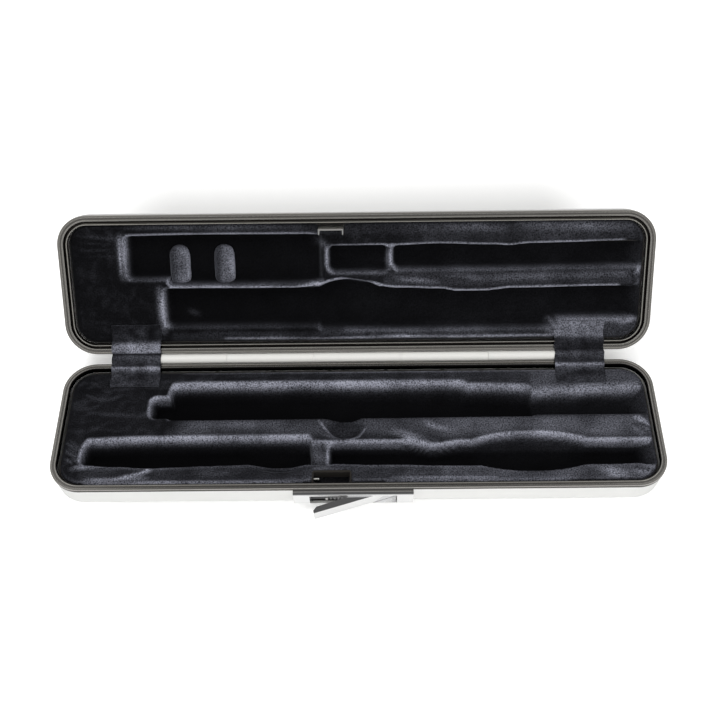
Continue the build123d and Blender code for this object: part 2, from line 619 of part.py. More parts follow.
def latch_housing():
    back = SHELL_FRONT - FIT / 2
    bottom = HOUSING_TOP - HOUSING_HEIGHT
    frame = block((HOUSING_LEFT, HOUSING_RIGHT), (FACE_Y, back), (bottom, HOUSING_TOP))
    frame = fillet(frame.faces().sort_by(Axis.Y)[0].edges(), HOUSING_ROUND)
    frame -= block((WINDOW_LEFT, WINDOW_RIGHT), (FACE_Y, back), (WINDOW_Z0, WINDOW_Z1))
    low, high = pin_ends()
    frame -= rod(2, PIVOT_RADIUS, (PIVOT_X, PIVOT_Y, low - FIT), (PIVOT_X, PIVOT_Y, high + FIT))
    for x in stud_places():
        frame -= rod(1, STUD_RADIUS, (x, back - STUD_SINK, LATCH_Z), (x, back, LATCH_Z))
    return frame


def pin_ends():
    """The lever pin stops short of the housing's outer faces."""
    cover = WINDOW_BOTTOM / 3
    return HOUSING_TOP - HOUSING_HEIGHT + cover, HOUSING_TOP - cover


def lever_pin():
    low, high = pin_ends()
    return rod(2, PIVOT_RADIUS - PIN_FIT / 2, (PIVOT_X, PIVOT_Y, low), (PIVOT_X, PIVOT_Y, high))


def latch_studs():
    """Studs that stand in the housing's back and are spread over the plate inside the shell."""
    start = SHELL_FRONT - STUD_SINK + FIT
    head = PLATE_Y + PLATE
    studs = []
    for x in stud_places():
        shank = rod(1, STUD_RADIUS - PIN_FIT / 2, (x, start, LATCH_Z), (x, head + RIM_SKIN, LATCH_Z))
        studs.append(shank + rod(1, STUD_HEAD, (x, head, LATCH_Z), (x, head + RIM_SKIN, LATCH_Z)))
    return studs


def latch_lever():
    """The rocker, drawn shut and then turned to its open position."""
    back = FACE_Y + LEVER_THICK
    outline = [
        (LEVER_LEFT, FACE_Y),
        (LEVER_RIGHT, FACE_Y),
        (LEVER_RIGHT, FACE_Y + LEVER_TAIL),
        (PIVOT_X, back),
        (PIVOT_X - PIVOT_IN, back),
        (LEVER_LEFT + TIP_CHAMFER, FACE_Y + LEVER_TIP),
        (LEVER_LEFT, FACE_Y + LEVER_TIP / 2),
    ]
    z0, z1 = WINDOW_Z0 + LEVER_EDGE, WINDOW_Z1 - LEVER_EDGE
    lever = Pos(0, 0, z0) * extrude(make_face(Polyline(*outline, close=True)), z1 - z0)
    lever += rod(2, BOSS_RADIUS, (PIVOT_X, PIVOT_Y, z0), (PIVOT_X, PIVOT_Y, z1))
    lever -= rod(2, PIVOT_RADIUS + PIN_FIT / 2, (PIVOT_X, PIVOT_Y, z0), (PIVOT_X, PIVOT_Y, z1))
    low, high = LATCH_Z - CRANK_HEIGHT / 2, LATCH_Z + CRANK_HEIGHT / 2
    web = block((-CRANK_WEB / 2, CRANK_WEB / 2), (BOSS_RADIUS - CRANK_WEB / 2, CRANK), (low, high))
    web += rod(2, CRANK_RADIUS, (0, CRANK, low), (0, CRANK, high))
    lever += Pos(PIVOT_X, PIVOT_Y, 0) * Rot(0, 0, -CRANK_LEAD) * web
    return LEVER_PLACE * lever


def guide_places():
    """Left edges of the two guides, one each side of the crank."""
    return [PIVOT_X - GUIDE_LEFT - GUIDE_WIDTH, PIVOT_X + BAR_RIGHT - 2 * GUIDE_WALL - GUIDE_WIDTH]


def latch_plate():
    """The plate clamped inside the shell: a rail under the lever, a pad at each stud, two guides that
    the bar runs in, and a seat for the spring."""
    rail_top = WINDOW_Z0 - FIT
    z0, z1 = rail_top - PLATE_RAIL, BAR_Z1 + BAR_FIT + GUIDE_WALL
    x = (HOUSING_LEFT + PLATE_SIDE, HOUSING_RIGHT - PLATE_SIDE)
    back = PLATE_Y + PLATE
    sheet = block(x, (PLATE_Y, back), (z0, rail_top))
    sheet += block((x[0], WINDOW_LEFT - FIT), (PLATE_Y, back), (z0, z1))
    sheet += block((WINDOW_RIGHT + FIT, x[1]), (PLATE_Y, back), (z0, z1))
    bar_front = BAR_Y - BAR_THICK / 2 - BAR_FIT
    bar_back = BAR_Y + BAR_THICK / 2 + BAR_FIT
    for left in guide_places():
        span = (left, left + GUIDE_WIDTH)
        sheet += block(span, (PLATE_Y, back), (z0, z1))
        sheet += block(span, (PLATE_Y, bar_back + GUIDE_WALL), (BAR_Z0 - BAR_FIT - GUIDE_WALL, z1))
        sheet -= block(span, (bar_front, bar_back), (BAR_Z0 - BAR_FIT, BAR_Z1 + BAR_FIT))
    seat = guide_places()[0]
    sheet += block((seat, seat + LUG_WIDTH), (spring_y() - SPRING_RADIUS, bar_front), lug_z())
    for x in stud_places():
        sheet -= rod(1, STUD_RADIUS + FIT, (x, PLATE_Y, LATCH_Z), (x, back, LATCH_Z))
    return sheet


def spring_y():
    """The spring's line, just in front of the bar."""
    return BAR_Y - BAR_THICK / 2 - BAR_FIT - SPRING_RADIUS - SPRING_WIRE


def lug_z():
    return LATCH_Z - SPRING_RADIUS - SPRING_WIRE, LATCH_Z + SPRING_RADIUS + SPRING_WIRE


def latch_bolt():
    """The sliding bolt, drawn shut and then drawn back to where the open lever holds it: a bar with a
    slot for the crank, a lug for the spring, and an arm whose nose enters the catch's ear."""
    bar_y = (BAR_Y - BAR_THICK / 2, BAR_Y + BAR_THICK / 2)
    bolt = block((ARM_X0, PIVOT_X + BAR_RIGHT + GUIDE_WALL), bar_y, (BAR_Z0, BAR_Z1))
    slot = CRANK_RADIUS + PIN_FIT
    slot_z = (LATCH_Z - CRANK_HEIGHT / 2 - LEVER_EDGE, LATCH_Z + CRANK_HEIGHT / 2 + LEVER_EDGE)
    bolt -= block((CRANK_X - slot, CRANK_X + slot), bar_y, slot_z)
    lug_end = spring_ends()[0] - SPRING_SEAT + CRANK_SHIFT
    bolt += block((lug_end - LUG_WIDTH, lug_end), (spring_y() - SPRING_RADIUS, bar_y[1]), lug_z())
    arm_back = CATCH_HOLE_Y + NOSE_RADIUS
    bolt += block((ARM_X0, ARM_X0 + ARM_WIDTH), (bar_y[0], arm_back), (BAR_Z0, BAR_Z1))
    tip = CATCH_X0 + CATCH_SHEET + NOSE_OVER
    bolt += rod(0, NOSE_RADIUS, (ARM_X0, CATCH_HOLE_Y, CATCH_HOLE_Z), (tip, CATCH_HOLE_Y, CATCH_HOLE_Z))
    return Pos(-CRANK_SHIFT, 0, 0) * bolt


def spring_ends():
    """The spring runs from the bolt's lug to the seat on the plate, with the lever open."""
    right = guide_places()[0] - SPRING_SEAT
    return right - SPRING_REST, right


def latch_spring():
    """An open coil of round wire whose ends lie just off their seats."""
    left, right = spring_ends()
    length = right - left - 2 * SPRING_WIRE
    pitch = length / SPRING_TURNS
    path = Helix(pitch, length, SPRING_RADIUS)
    start = path @ 0
    section = Plane(origin=start, z_dir=path % 0) * Circle(SPRING_WIRE)
    coil = sweep(section, path)
    turn_gap = pitch - 2 * SPRING_WIRE
    print(f"spring: {SPRING_TURNS} turns, gap between turns {turn_gap:.2f} mm")
    return Pos(left + SPRING_WIRE, spring_y(), LATCH_Z) * Rot(0, 90, 0) * coil


# ---- catch, in the lid's own frame ----


def catch_screw_ends():
    face = HALF_DEPTH - CATCH_BACK
    y = face - CATCH_SHEET - FIT - CATCH_SCREW_HEAD
    top = LID_LAND - 2 * LINING + CATCH_SHEET
    for x in (CATCH_X0 + CATCH_SCREW_IN, CATCH_X1 - CATCH_SCREW_IN):
        yield (x, y, top - CATCH_SCREW_LENGTH), (x, y, top)


def catch_plate():
    """A folded sheet: a face with an ear at each end, and a foot screwed down under the velvet."""
    face = HALF_DEPTH - CATCH_BACK
    top = LID_HEIGHT + RIM_GAP + CATCH_REACH
    foot = LID_LAND - 2 * LINING + FIT
    sheet = block((CATCH_X0, CATCH_X1), (face - CATCH_SHEET, face), (foot, top))
    for x0 in (CATCH_X0, CATCH_X1 - CATCH_SHEET):
        sheet += block((x0, x0 + CATCH_SHEET), (face - CATCH_EAR, face), (foot, top))
    hole_y = face - CATCH_HOLE_BACK
    hole_z = LID_HEIGHT + RIM_GAP + CATCH_HOLE_DROP
    sheet -= rod(0, CATCH_HOLE, (CATCH_X0, hole_y, hole_z), (CATCH_X1, hole_y, hole_z))
    sheet += block((CATCH_X0, CATCH_X1), (face - CATCH_EAR, face), (foot, foot + CATCH_SHEET))
    for start, end in catch_screw_ends():
        sheet -= rod(2, CATCH_SCREW + FIT, start, (end[0], end[1], end[2] + CATCH_SHEET))
    return sheet


def catch_screws():
    screws = []
    for start, end in catch_screw_ends():
        shank_top = (end[0], end[1], end[2] + 2 * FIT)
        head_top = (end[0], end[1], shank_top[2] + RIM_SKIN)
        screws.append(rod(2, CATCH_SCREW, start, shank_top) + rod(2, CATCH_SCREW_HEAD, shank_top, head_top))
    return screws


# ---- straps ----


def lid_point(y, z):
    """A point of the lid's own YZ plane, where the open lid holds it."""
    turn = radians(LID_TURN)
    back, up = y + HINGE_Y, z - LID_AXIS_Z
    return HINGE_Y + back * cos(turn) - up * sin(turn), HINGE_Z + back * sin(turn) + up * cos(turn)


def strap(x):
    """A band of velvet: glued along the base's land, taut over both rims, glued along the lid's."""
    lift = STRAP_LIFT + STRAP_THICK / 2
    rim_y = HALF_DEPTH - BASE_RIM_WIDTH
    lip_y = -HALF_DEPTH + LID_RIM_WIDTH
    turn_in = STRAP_THICK + 1.6
    base_turn = rim_y - turn_in
    lid_turn = lip_y + turn_in
    path = [
        (base_turn - STRAP_TAB, BASE_LAND + lift),
        (base_turn, BASE_LAND + lift),
        (rim_y - STRAP_THICK / 2, BASE_HEIGHT + 2 * lift),
        lid_point(lip_y + STRAP_THICK / 2, LID_HEIGHT + 2 * lift),
        lid_point(lid_turn, LID_LAND + lift),
        lid_point(lid_turn + STRAP_TAB, LID_LAND + lift),
    ]
    section = trace(Polyline(*path), STRAP_THICK)
    return Pos(x, 0, 0) * extrude(Plane.YZ * section, STRAP_WIDTH / 2, both=True)


BASE_PIECES = {
    "base_shell": base_shell,
    "base_rim": base_rim,
    "base_core_foot": lambda: front_core(0),
    "base_core_catch": lambda: front_core(1),
    "base_core_head": lambda: front_core(2),
    "base_core_end": lambda: front_core(3),
    "base_core_back": lambda: base_core(1),
    "base_velvet": base_velvet,
    "hinge_pin": hinge_pin,
    "latch_housing": latch_housing,
    "latch_plate": latch_plate,
    "latch_studs": latch_studs,
    "latch_lever": latch_lever,
    "lever_pin": lever_pin,
    "latch_bolt": latch_bolt,
    "latch_spring": latch_spring,
    "left_strap": lambda: strap(-HALF_LENGTH + STRAP_END),
    "right_strap": lambda: strap(HALF_LENGTH - STRAP_END),
    "hinge_base_leaf": lambda: BASE_HINGE * leaf(-1, 0),
    "hinge_base_rivets": lambda: [BASE_HINGE * rivet for rivet in rivet_row(-1)],
    "hinge_lid_leaf": lambda: LID_HINGE * leaf(1, 1),
    "hinge_lid_rivets": lambda: [LID_HINGE * rivet for rivet in rivet_row(1)],
}
LID_PIECES = {
    "lid_shell": lid_shell,
    "lid_rim": lid_rim,
    "lid_core": lid_core,
    "lid_velvet": lid_velvet,
    "lid_pads": lid_pads,
    "catch_plate": catch_plate,
    "catch_screws": catch_screws,
}


def write(name, shape):
    """One file per piece; a list is a group of separate solids."""
    if isinstance(shape, list):
        shape = Compound(children=shape)
    export_step(shape, f"parts/{name}.step")


for name, make in BASE_PIECES.items():
    write(name, make())
for name, make in LID_PIECES.items():
    piece = make()
    placed = [LID_PLACE * one for one in piece] if isinstance(piece, list) else LID_PLACE * piece
    write(name, placed)
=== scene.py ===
# %% [markdown]
# # Dressing a hard flute case
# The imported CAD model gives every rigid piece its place: moulded shells, metal rims, hinge, latch. It is
# loaded first and never moved. What a solid model can't show well is cloth, so this script hides the
# plain velvet solids and builds soft ones in their place, then gives every piece a finish, a light and a
# camera.

import json
import math

import bmesh
import bpy
import numpy as np
from mathutils import Matrix, Vector, noise


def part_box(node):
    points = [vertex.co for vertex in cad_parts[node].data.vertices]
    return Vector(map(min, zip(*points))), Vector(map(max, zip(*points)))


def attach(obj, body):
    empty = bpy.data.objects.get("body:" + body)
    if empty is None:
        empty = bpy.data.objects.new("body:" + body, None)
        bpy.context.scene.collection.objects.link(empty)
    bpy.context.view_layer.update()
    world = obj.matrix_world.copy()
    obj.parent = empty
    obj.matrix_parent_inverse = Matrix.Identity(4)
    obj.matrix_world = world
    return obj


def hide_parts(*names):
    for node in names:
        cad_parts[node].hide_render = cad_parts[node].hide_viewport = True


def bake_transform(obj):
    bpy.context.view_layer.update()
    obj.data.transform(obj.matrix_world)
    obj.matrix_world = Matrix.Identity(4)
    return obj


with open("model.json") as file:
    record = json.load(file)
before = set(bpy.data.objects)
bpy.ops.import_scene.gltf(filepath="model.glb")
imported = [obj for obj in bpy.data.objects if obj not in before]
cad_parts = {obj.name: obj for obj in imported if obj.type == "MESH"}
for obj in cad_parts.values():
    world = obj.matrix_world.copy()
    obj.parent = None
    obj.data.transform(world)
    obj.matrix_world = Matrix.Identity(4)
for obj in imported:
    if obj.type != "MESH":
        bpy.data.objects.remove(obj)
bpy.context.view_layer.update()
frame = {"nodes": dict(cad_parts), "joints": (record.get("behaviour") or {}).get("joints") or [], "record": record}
MM = 0.001

# %% [markdown]
# Sizes come from the frame where a node's box holds them, so that the dressing follows the CAD.
# Everything below is worked out in millimetres and scaled once, when a mesh is finished. The lid is
# easiest to shape lying open side up, in its own frame with +Y towards its front edge, and is then turned
# about the hinge into place.

# %% Places taken from the frame
rim_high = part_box("base_rim")[1] / MM
velvet_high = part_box("base_velvet")[1] / MM
strap_low, strap_high = (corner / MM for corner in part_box("right_strap"))
hinge = next(joint for joint in frame["joints"] if joint["name"] == "lid_hinge")
HINGE_AT = Vector(hinge["pos_m"]) / MM
LID_TURN = math.radians(180 - hinge["range_deg"][1])
RIM_FACE = rim_high.z
HALF_LENGTH, HALF_DEPTH = rim_high.x, rim_high.y
CORNER_RADIUS = 23.0      # of the rims, seen from above
LID_HEIGHT = 20.0         # rim face to the outside of the lid
LID_AXIS_Z = LID_HEIGHT + HINGE_AT.z - RIM_FACE
LID_PLACE = (
    Matrix.Translation(HINGE_AT)
    @ Matrix.Rotation(LID_TURN, 4, "X")
    @ Matrix.Translation((0, HINGE_AT.y, -LID_AXIS_Z))
)
print("lid turned back by", round(180 - math.degrees(LID_TURN), 1), "degrees")

# %% [markdown]
# A few small helpers serve the materials. Colours are written as sRGB hex, as a paint chip would be, and
# turned to the linear values that the shader works in. One function adds a node with its settings and its
# links. The last one is a measure that two finishes need: how far a place lies outside a rectangle.

# %% Colour and node helpers
def chip(code):
    """An sRGB hex colour as the linear colour that a shader socket holds."""
    channels = [int(code[i : i + 2], 16) / 255 for i in (1, 3, 5)]
    linear = [c / 12.92 if c <= 0.04045 else ((c + 0.055) / 1.055) ** 2.4 for c in channels]
    return (*linear, 1.0)


def add(material, kind, inputs=None, **settings):
    """Adds a node. inputs holds a value or another node's output for each socket, by name or number."""
    made = material.node_tree.nodes.new("ShaderNode" + kind)
    for name, value in settings.items():
        setattr(made, name, value)
    for socket, value in (inputs or {}).items():
        if isinstance(value, bpy.types.NodeSocket):
            material.node_tree.links.new(value, made.inputs[socket])
        else:
            made.inputs[socket].default_value = value
    return made


def new_material(name, **constants):
    """A material with its Principled BSDF, whose constant sockets are set by name."""
    material = bpy.data.materials.new(name)
    material.use_nodes = True
    surface = material.node_tree.nodes["Principled BSDF"]
    for socket, value in constants.items():
        surface.inputs[socket.replace("_", " ")].default_value = value
    return material, surface


def distance_outside(material, place, half):
    """How far a place lies outside a rectangle about the origin, whose half size is given, in metres."""
    size = add(material, "VectorMath", {0: place}, operation="ABSOLUTE").outputs[0]
    over = add(material, "VectorMath", {0: size, 1: (*half, 1.0)}, operation="SUBTRACT").outputs[0]
    out = add(material, "VectorMath", {0: over, 1: (0, 0, 0)}, operation="MAXIMUM").outputs[0]
    return add(material, "VectorMath", {0: out}, operation="LENGTH").outputs["Value"]


# %% [markdown]
# ## Velvet
# Cotton velvet is a woven back with a cut pile about a millimetre high. Seen straight on, the pile
# swallows light and looks almost black; seen along a slope, the tips catch it and turn bluish grey. That
# is what the Sheen layer does, so it carries the look. Light and shade are also painted into the colour:
# the meshes carry an attribute of nap and painted light, high on lit slopes and edges as painted
# highlights and low deep in the pockets as painted shade, and where it is high the velvet shows paler.
# The real pile is too fine to show, so its speckle is drawn at 1 mm.

# %% Velvet finishes
PILE_SPECKLE = 1.0 * MM   # spacing of the pile's speckle
PILE_DRIFT = 22 * MM      # and of the patches in which it lies more or less open


def velvet(name, deep, pale_nap_and_light, tint):
    """A pressed velvet: deep colour in the pile, and a pale colour, for painted highlights, where the
    painted-light attribute is high.
    """
    material, surface = new_material(
        name, Roughness=1.0, IOR=1.45, Specular_IOR_Level=0.1, Sheen_Weight=0.34, Sheen_Roughness=0.28
    )
    surface.inputs["Sheen Tint"].default_value = chip(tint)
    place = add(material, "TexCoord").outputs["Object"]
    tips = add(material, "TexNoise", {"Vector": place, "Scale": 1 / PILE_SPECKLE, "Detail": 2.0})
    drift = add(material, "TexNoise", {"Vector": place, "Scale": 1 / PILE_DRIFT, "Detail": 4.0})
    nap_and_painted_light = add(material, "Attribute", attribute_name="nap_and_painted_light").outputs["Fac"]
    middle = {1: 0.3, 2: 0.7}                # most of a noise's values lie between these
    speckled = add(material, "MapRange", {"Value": tips.outputs["Fac"], **middle, 3: 0.15, 4: 1.85})
    drifted = add(material, "MapRange", {"Value": drift.outputs["Fac"], **middle, 3: 0.6, 4: 1.4})
    uneven = add(material, "Math", {0: speckled.outputs[0], 1: drifted.outputs[0]}, operation="MULTIPLY")
    share = add(material, "Math", {0: nap_and_painted_light, 1: uneven.outputs[0]}, operation="MULTIPLY", use_clamp=True)
    # painted light: the pale colour where the attribute of nap and painted light is high
    shade = add(
        material, "Mix", {0: share.outputs[0], 6: chip(deep), 7: chip(pale_nap_and_light)}, data_type="RGBA"
    )
    material.node_tree.links.new(shade.outputs[2], surface.inputs["Base Color"])
    bump = add(
        material, "Bump", {"Height": tips.outputs["Fac"], "Strength": 0.8, "Distance": 0.4 * MM}
    )
    material.node_tree.links.new(bump.outputs["Normal"], surface.inputs["Normal"])
    return material


# the third colour is the pale colour of the painted highlights
lining_velvet = velvet("cotton_velvet_black", "#060607", "#9fa1ae", "#b9bcc8")
strap_velvet = velvet("cotton_velvet_ribbon", "#08080a", "#9fa1ae", "#b9bcc8")
print("velvets:", lining_velvet.name, strap_velvet.name)

# %% [markdown]
# ## The pressed relief
# Each insert is one sheet of velvet pressed over a firm core. Its form is a height for each place on the
# sheet, so a fine grid is made, squeezed to the insert's rounded outline, and each point is dropped by
# the deepest pocket over it. A pocket knows how far a point lies inside its four walls, measured in each
# wall's own lean, and rounds the corners between them.

# %% Heights of pockets
LONG_LEAN = 4             # a right wall that leans by more mm than this meets the side walls in a mitre


def ease(share):
    """0 to 1 with flat ends."""
    share = np.clip(share, 0, 1)
    return share * share * (3 - 2 * share)


def slope(share):
    """0 to 1 almost straight, with only its ends eased, as cloth lies on a flat wall."""
    return 0.5 * np.clip(share, 0, 1) + 0.5 * ease(share)


def line(x, *points):
    """A line along x that eases from each (x, y) point to the next."""
    xs, ys = np.array(points, float).T
    i = np.clip(np.searchsorted(xs, x) - 1, 0, len(xs) - 2)
    return ys[i] + (ys[i + 1] - ys[i]) * ease((x - xs[i]) / (xs[i + 1] - xs[i]))


def trough(x, y, ends, front, back, depth, lean=(1.5, 1.5, 1.5, 1.5), corner=2.2, bow=1.0):
    """Depth of a pressed pocket between four walls. lean is for its left, right, front and back wall.

    bow above 1 makes the back wall full at its top.
    """
    left, right = (x - ends[0]) / lean[0], (ends[1] - x) / lean[1]
    back_wall = np.clip((back - y) / lean[3], 0, None) ** bow
    along, across = np.minimum(left, right), np.minimum((y - front) / lean[2], back_wall)
    square = left if lean[1] > LONG_LEAN else along
    rounded = corner - np.hypot(corner - square, corner - across)
    near = np.minimum(along, across)
    inside = np.where((square < corner) & (across < corner), np.minimum(rounded, near), near)
    return depth * slope(inside)


def scoop(x, y, centre, size, depth, edge):
    """Depth of an oval hollow. edge is the share of its radius that its side takes; 1 makes it a bowl."""
    out = np.hypot((x - centre[0]) / (size[0] / 2), (y - centre[1]) / (size[1] / 2))
    return depth * slope((1 - out) / edge)


def folds(x, y, *lines):
    """Soft lines, each from (x, y) to (x, y) with a strength and a width; used for creases and for nap."""
    total = np.zeros_like(x)
    for x0, y0, x1, y1, strength, width in lines:
        reach = (x1 - x0) ** 2 + (y1 - y0) ** 2
        share = np.clip(((x - x0) * (x1 - x0) + (y - y0) * (y1 - y0)) / reach, 0, 1)
        away = np.hypot(x - x0 - share * (x1 - x0), y - y0 - share * (y1 - y0))
        total += strength * np.sin(np.pi * (0.12 + 0.76 * share)) * np.exp(-((away / width) ** 2))
    return total


def seam(y, edge, fade, strength, width):
    """A soft line that follows a wavy edge, multiplied by fade."""
    return strength * fade * np.exp(-(((y - edge) / width) ** 2))


def zone(x, y, left, right, front, back, soft):
    """1 inside a soft-edged rectangle, 0 outside."""
    sides = (x - left, right - x, y - front, back - y)
    return np.prod([ease(side / soft + 0.5) for side in sides], axis=0)


# %% [markdown]
# The base holds the flute's three joints: foot joint in front at the left, head joint in front at the
# right with a wider oval for its lip plate, body joint behind. The ridges between them have scoops for a
# finger. The numbers follow the CAD velvet's, with the waves that pressed cloth has along its edges and
# more room round the catch.

# %% Relief of the base
BASE_LAND = velvet_high.z
BASE_DEEP = 19.05
END = 214.1               # right-hand pockets end here, at the land
PAST_EDGE = 60            # a place past the insert's long edges, for slots that run out over them
SHEER = (0.6, 0.6, 0.6, 0.6)             # lean of a slot's cut walls
RECESS = (-32.2, -5.4, -37.0, 13.0)      # catch slot: left, right, back edge and floor height


def front_ridge(x):
    """Edge between the front ridge and the pockets behind it."""
    return line(x, (-206, -34), (-199, -31.0), (-176, -32.2), (-148, -33.8), (-133, -33.0), (-96, -32.0),
                (-70, -31.4), (-30, -31.2), (20, -32.4), (76, -33.6), (178, -33.4), (200, -32.8), (214, -36))


def base_depth(x, y):
    """Depth of the deepest pocket over each point."""
    front = np.maximum(front_ridge(x), -33.9)
    foot = trough(x, y, (-200, -33), front, line(x, (-200, -10.4), (-150, -9.0), (-33, -8.8)), BASE_DEEP,
                  (2.6, 1.5, 1.5, 8), 2.0)
    head_back = line(x, (-21, -14.2), (28, -14.2), (36, -13.8), (54, -17.4), (76, -14.6), (214, -14.2))
    head = trough(x, y, (-21, END), front, head_back, BASE_DEEP, (1.5, 13, 1.5, 2.6))
    lip = scoop(x, y, (125, -23.3), (104, 30.8), BASE_DEEP - 6, 0.14)
    saddle = trough(x, y, (-38, -16), -33, -13.6, 5, (2.5, 2.5, 2, 3))
    body_back = line(x, (-141, 37.0), (-118, 38), (76, 37.6), (84, 34.8), (132, 33.6))
    body_front = line(x, (-141, 5.8), (-80, 5.5), (-36, 5.9), (20, 6.0), (132, 6.4))
    body = trough(x, y, (-141, 132), body_front, body_back, BASE_DEEP, (1.6, 2.6, 1.6, 10), bow=1.25)
    tenon = trough(x, y, (-154, -131), 7, 24.5, BASE_DEEP - 1.5, (2.2, 1.8, 1.8, 1.8))
    socket_back = line(x, (122, 33.5), (150, 34.6), (190, 36), (214, 37))
    socket = trough(x, y, (122, END), 7.2, socket_back, BASE_DEEP - 5, (1.5, 13, 3, 13), bow=2.4)
    lean_right = x - 4.0 * np.clip(1 - ((x + 12.5) / 18.5) ** 2, 0, 1)
    finger = scoop(lean_right, y, (-12.5, -1.5), (37, 21.5), 9.5, 0.5)
    thumb = scoop(x, y, (-56, -33), (46, 12), 7, 0.7)
    left, right, back, floor = RECESS
    catch = trough(x, y, (left, right), -PAST_EDGE, back, BASE_LAND - floor, SHEER, 0.5)
    return np.max([foot, head, lip, saddle, body, tenon, socket, finger, thumb, catch], axis=0)


print("base: land at", round(BASE_LAND, 2), "mm, pockets", BASE_DEEP, "mm deep")

# %% [markdown]
# Pressed cloth gathers where a ridge ends or turns, so single creases are laid over the relief. The
# attribute of nap and painted light holds painted highlights along the front edge, on the ridges and at the
# scoops' lips, paler velvet towards the right as painted light, and places where the slopes' painted
# highlight is held back.

# %% Creases, nap and painted light of the base
def base_creases(x, y):
    """Height that the cloth's creases add."""
    return folds(
        x, y,
        (-148, -34, -156, -38.3, 0.8, 1.5),        # crease that runs off the front ridge
        (-156, -38.3, -170, -41.5, 0.8, 1.5),
        (-206, -33, -186, -30.4, 0.8, 2.0),
        (-211, -12, -202, -19, 0.5, 1.1),          # gathers at the foot pocket's end
        (-212, -17, -203, -25, 0.5, 1.1),
        (-209, -25, -199, -33, 0.5, 1.2),
        (203, 5, 211, -1.0, 1.5, 1.6),             # rumpled end of the middle ridge
        (204, -2, 213, -5.5, 1.1, 1.5),
        (200, -0.5, 207, -9.5, 0.6, 2.2),
        (176, -38.5, 190, -44, 1.0, 2.4),
        (196, -38, 208, -40, 0.8, 2.6),
        (24, -5, 46, -12.0, 0.9, 2.2),
        (34, -9, 56, -15.0, 0.6, 1.8),
        (52, 1, 70, -4, 0.8, 2.2),
        (-200, 41, -186, 30, 0.15, 1.6),
        (-206, 30, -190, 24, 0.15, 1.6),
    )


def base_nap_and_light(x, y):
    """(share of the slopes' painted highlight that is kept, painted light and tone laid on top of it)"""
    left, right, back, _ = RECESS
    # the catch slot keeps little of the slopes' painted highlight
    highlight_kept = 1 - 0.9 * zone(x, y, left - 2, right + 2, -PAST_EDGE, back + 2, 1.5)
    # painted highlight held back in the finger scoop behind its front lip, then in the thumb scoop, the
    # saddle and the socket
    highlight_kept *= 1 - 0.92 * zone(x, y, -33, 9, -8.5, 12, 4) * (1 - zone(x, y, -33, 9, -PAST_EDGE, -9.5, 2))
    highlight_kept *= 1 - 0.85 * zone(x, y, -80, -32, -42, -31, 2)
    highlight_kept *= 1 - 0.7 * zone(x, y, -36, -23, -32, -14, 3)
    highlight_kept *= 1 - 0.35 * zone(x, y, 126, 215, 12, 46, 6)
    # painted light: paler towards the right, where the front lamp stands, and paler over the zones listed below
    tone = 0.02 + 0.05 * ease((x + 120) / 240)
    tone += 0.09 * zone(x, y, -132, 208, -8, 5, 8) + 0.07 * zone(x, y, 60, 208, -12, 6, 8)
    tone += 0.10 * zone(x, y, 130, 212, 30, 46, 6) + 0.03 * zone(x, y, -200, 200, -46, -34, 3)
    tone += 0.08 * zone(x, y, 60, 212, -46, -34, 8)
    # painted highlights: bright threads along edges and lips
    laid = folds(
        x, y,
        (-194, -46.2, -100, -46.2, 0.85, 0.9),     # bright thread where the lining turns down in front
        (-120, -46.2, -40, -46.4, 0.75, 0.8),
        (-194, -43.6, -150, -42.6, 0.35, 1.2),
        (-148, -35, -157, -39.2, 0.40, 1.2),
        (-157, -39.2, -172, -42.6, 0.40, 1.2),
        (20, -46.2, 150, -46.3, 0.50, 0.8),
        (24, -43.4, 98, -43.8, 0.30, 0.9),
        (172, -38, 190, -41, 0.30, 2.6),
        (-28.5, 3.2, -16.6, -7.8, 0.55, 0.9),      # lip of the finger scoop
        (-16.6, -7.8, -5.7, -12.4, 0.60, 0.9),
        (-5.7, -12.4, 0.5, -10.2, 0.60, 1.0),
        (0.5, -10.2, 5.5, -3.0, 0.50, 0.9),
        (-21.8, -16.5, -21.6, -32, 0.60, 1.3),     # the divider's right edge
        (-34, -15, -24, -30, 0.16, 5.0),
        (203, 5, 212, -2, 0.45, 1.6),
        (207, 0, 214, -4, 0.35, 1.3),
        (217, 30, 214, 8, 0.5, 0.8),
        (-130, 46.5, 205, 46.5, 0.45, 1.3),        # and behind, where it turns down at the hinge
        (26, -5, 44, -11, 0.30, 2.0),
        (50, 1, 62, -5, 0.30, 2.4),
        (-120, 1, -60, 0, 0.10, 4.0),
    )
    # painted highlight along the front ridge's edge
    laid += seam(y, front_ridge(x) - 1.2, ease((x + 205) / 10), 0.13, 1.3)
    return highlight_kept, 0.8 * tone + laid


# %% [markdown]
# The lid's pockets only have to clear the keys. The lid has an upper row, a thin ridge and a lower row,
# which widens towards the hinge round an oval and ends beside a raised block. Its long edges catch the
# light as thin bright threads, because there the pile bends away from the eye; these threads are painted
# into the colour as painted highlights.

# %% Relief of the lid
LID_LAND = 16.0
LID_DEEP = 11.05
LID_END = 211.0
DROP_FROM = -30           # where the lower pocket widens towards the hinge
BLOCK_EDGE = -29.3        # edge of the raised block, beside which the lower pocket ends


def upper_edge(x):
    """Upper edge of the upper row's left-hand pockets."""
    return line(x, (-171, 36.6), (-120, 37.2), (-40, 36.8), (-24, 36.2))


def band_edge(x):
    """Upper edge of its right-hand pockets."""
    return line(x, (-21, 27.4), (20, 27.8), (26, 27.6), (60, 28.6), (104, 27.4), (112, 26.8), (130, 28.2),
                (211, 29.6))


def ridge_edge(x):
    """Edge between the thin ridge and the lower row."""
    return line(x, (-145, -3.4), (-46, -3.9), (-30, -1.4), (-12, 2.0), (8, -0.6), (26, -4.4), (62, -5.6),
                (76, -7.6), (94, -7.6), (118, -5.6), (211, -4.6))


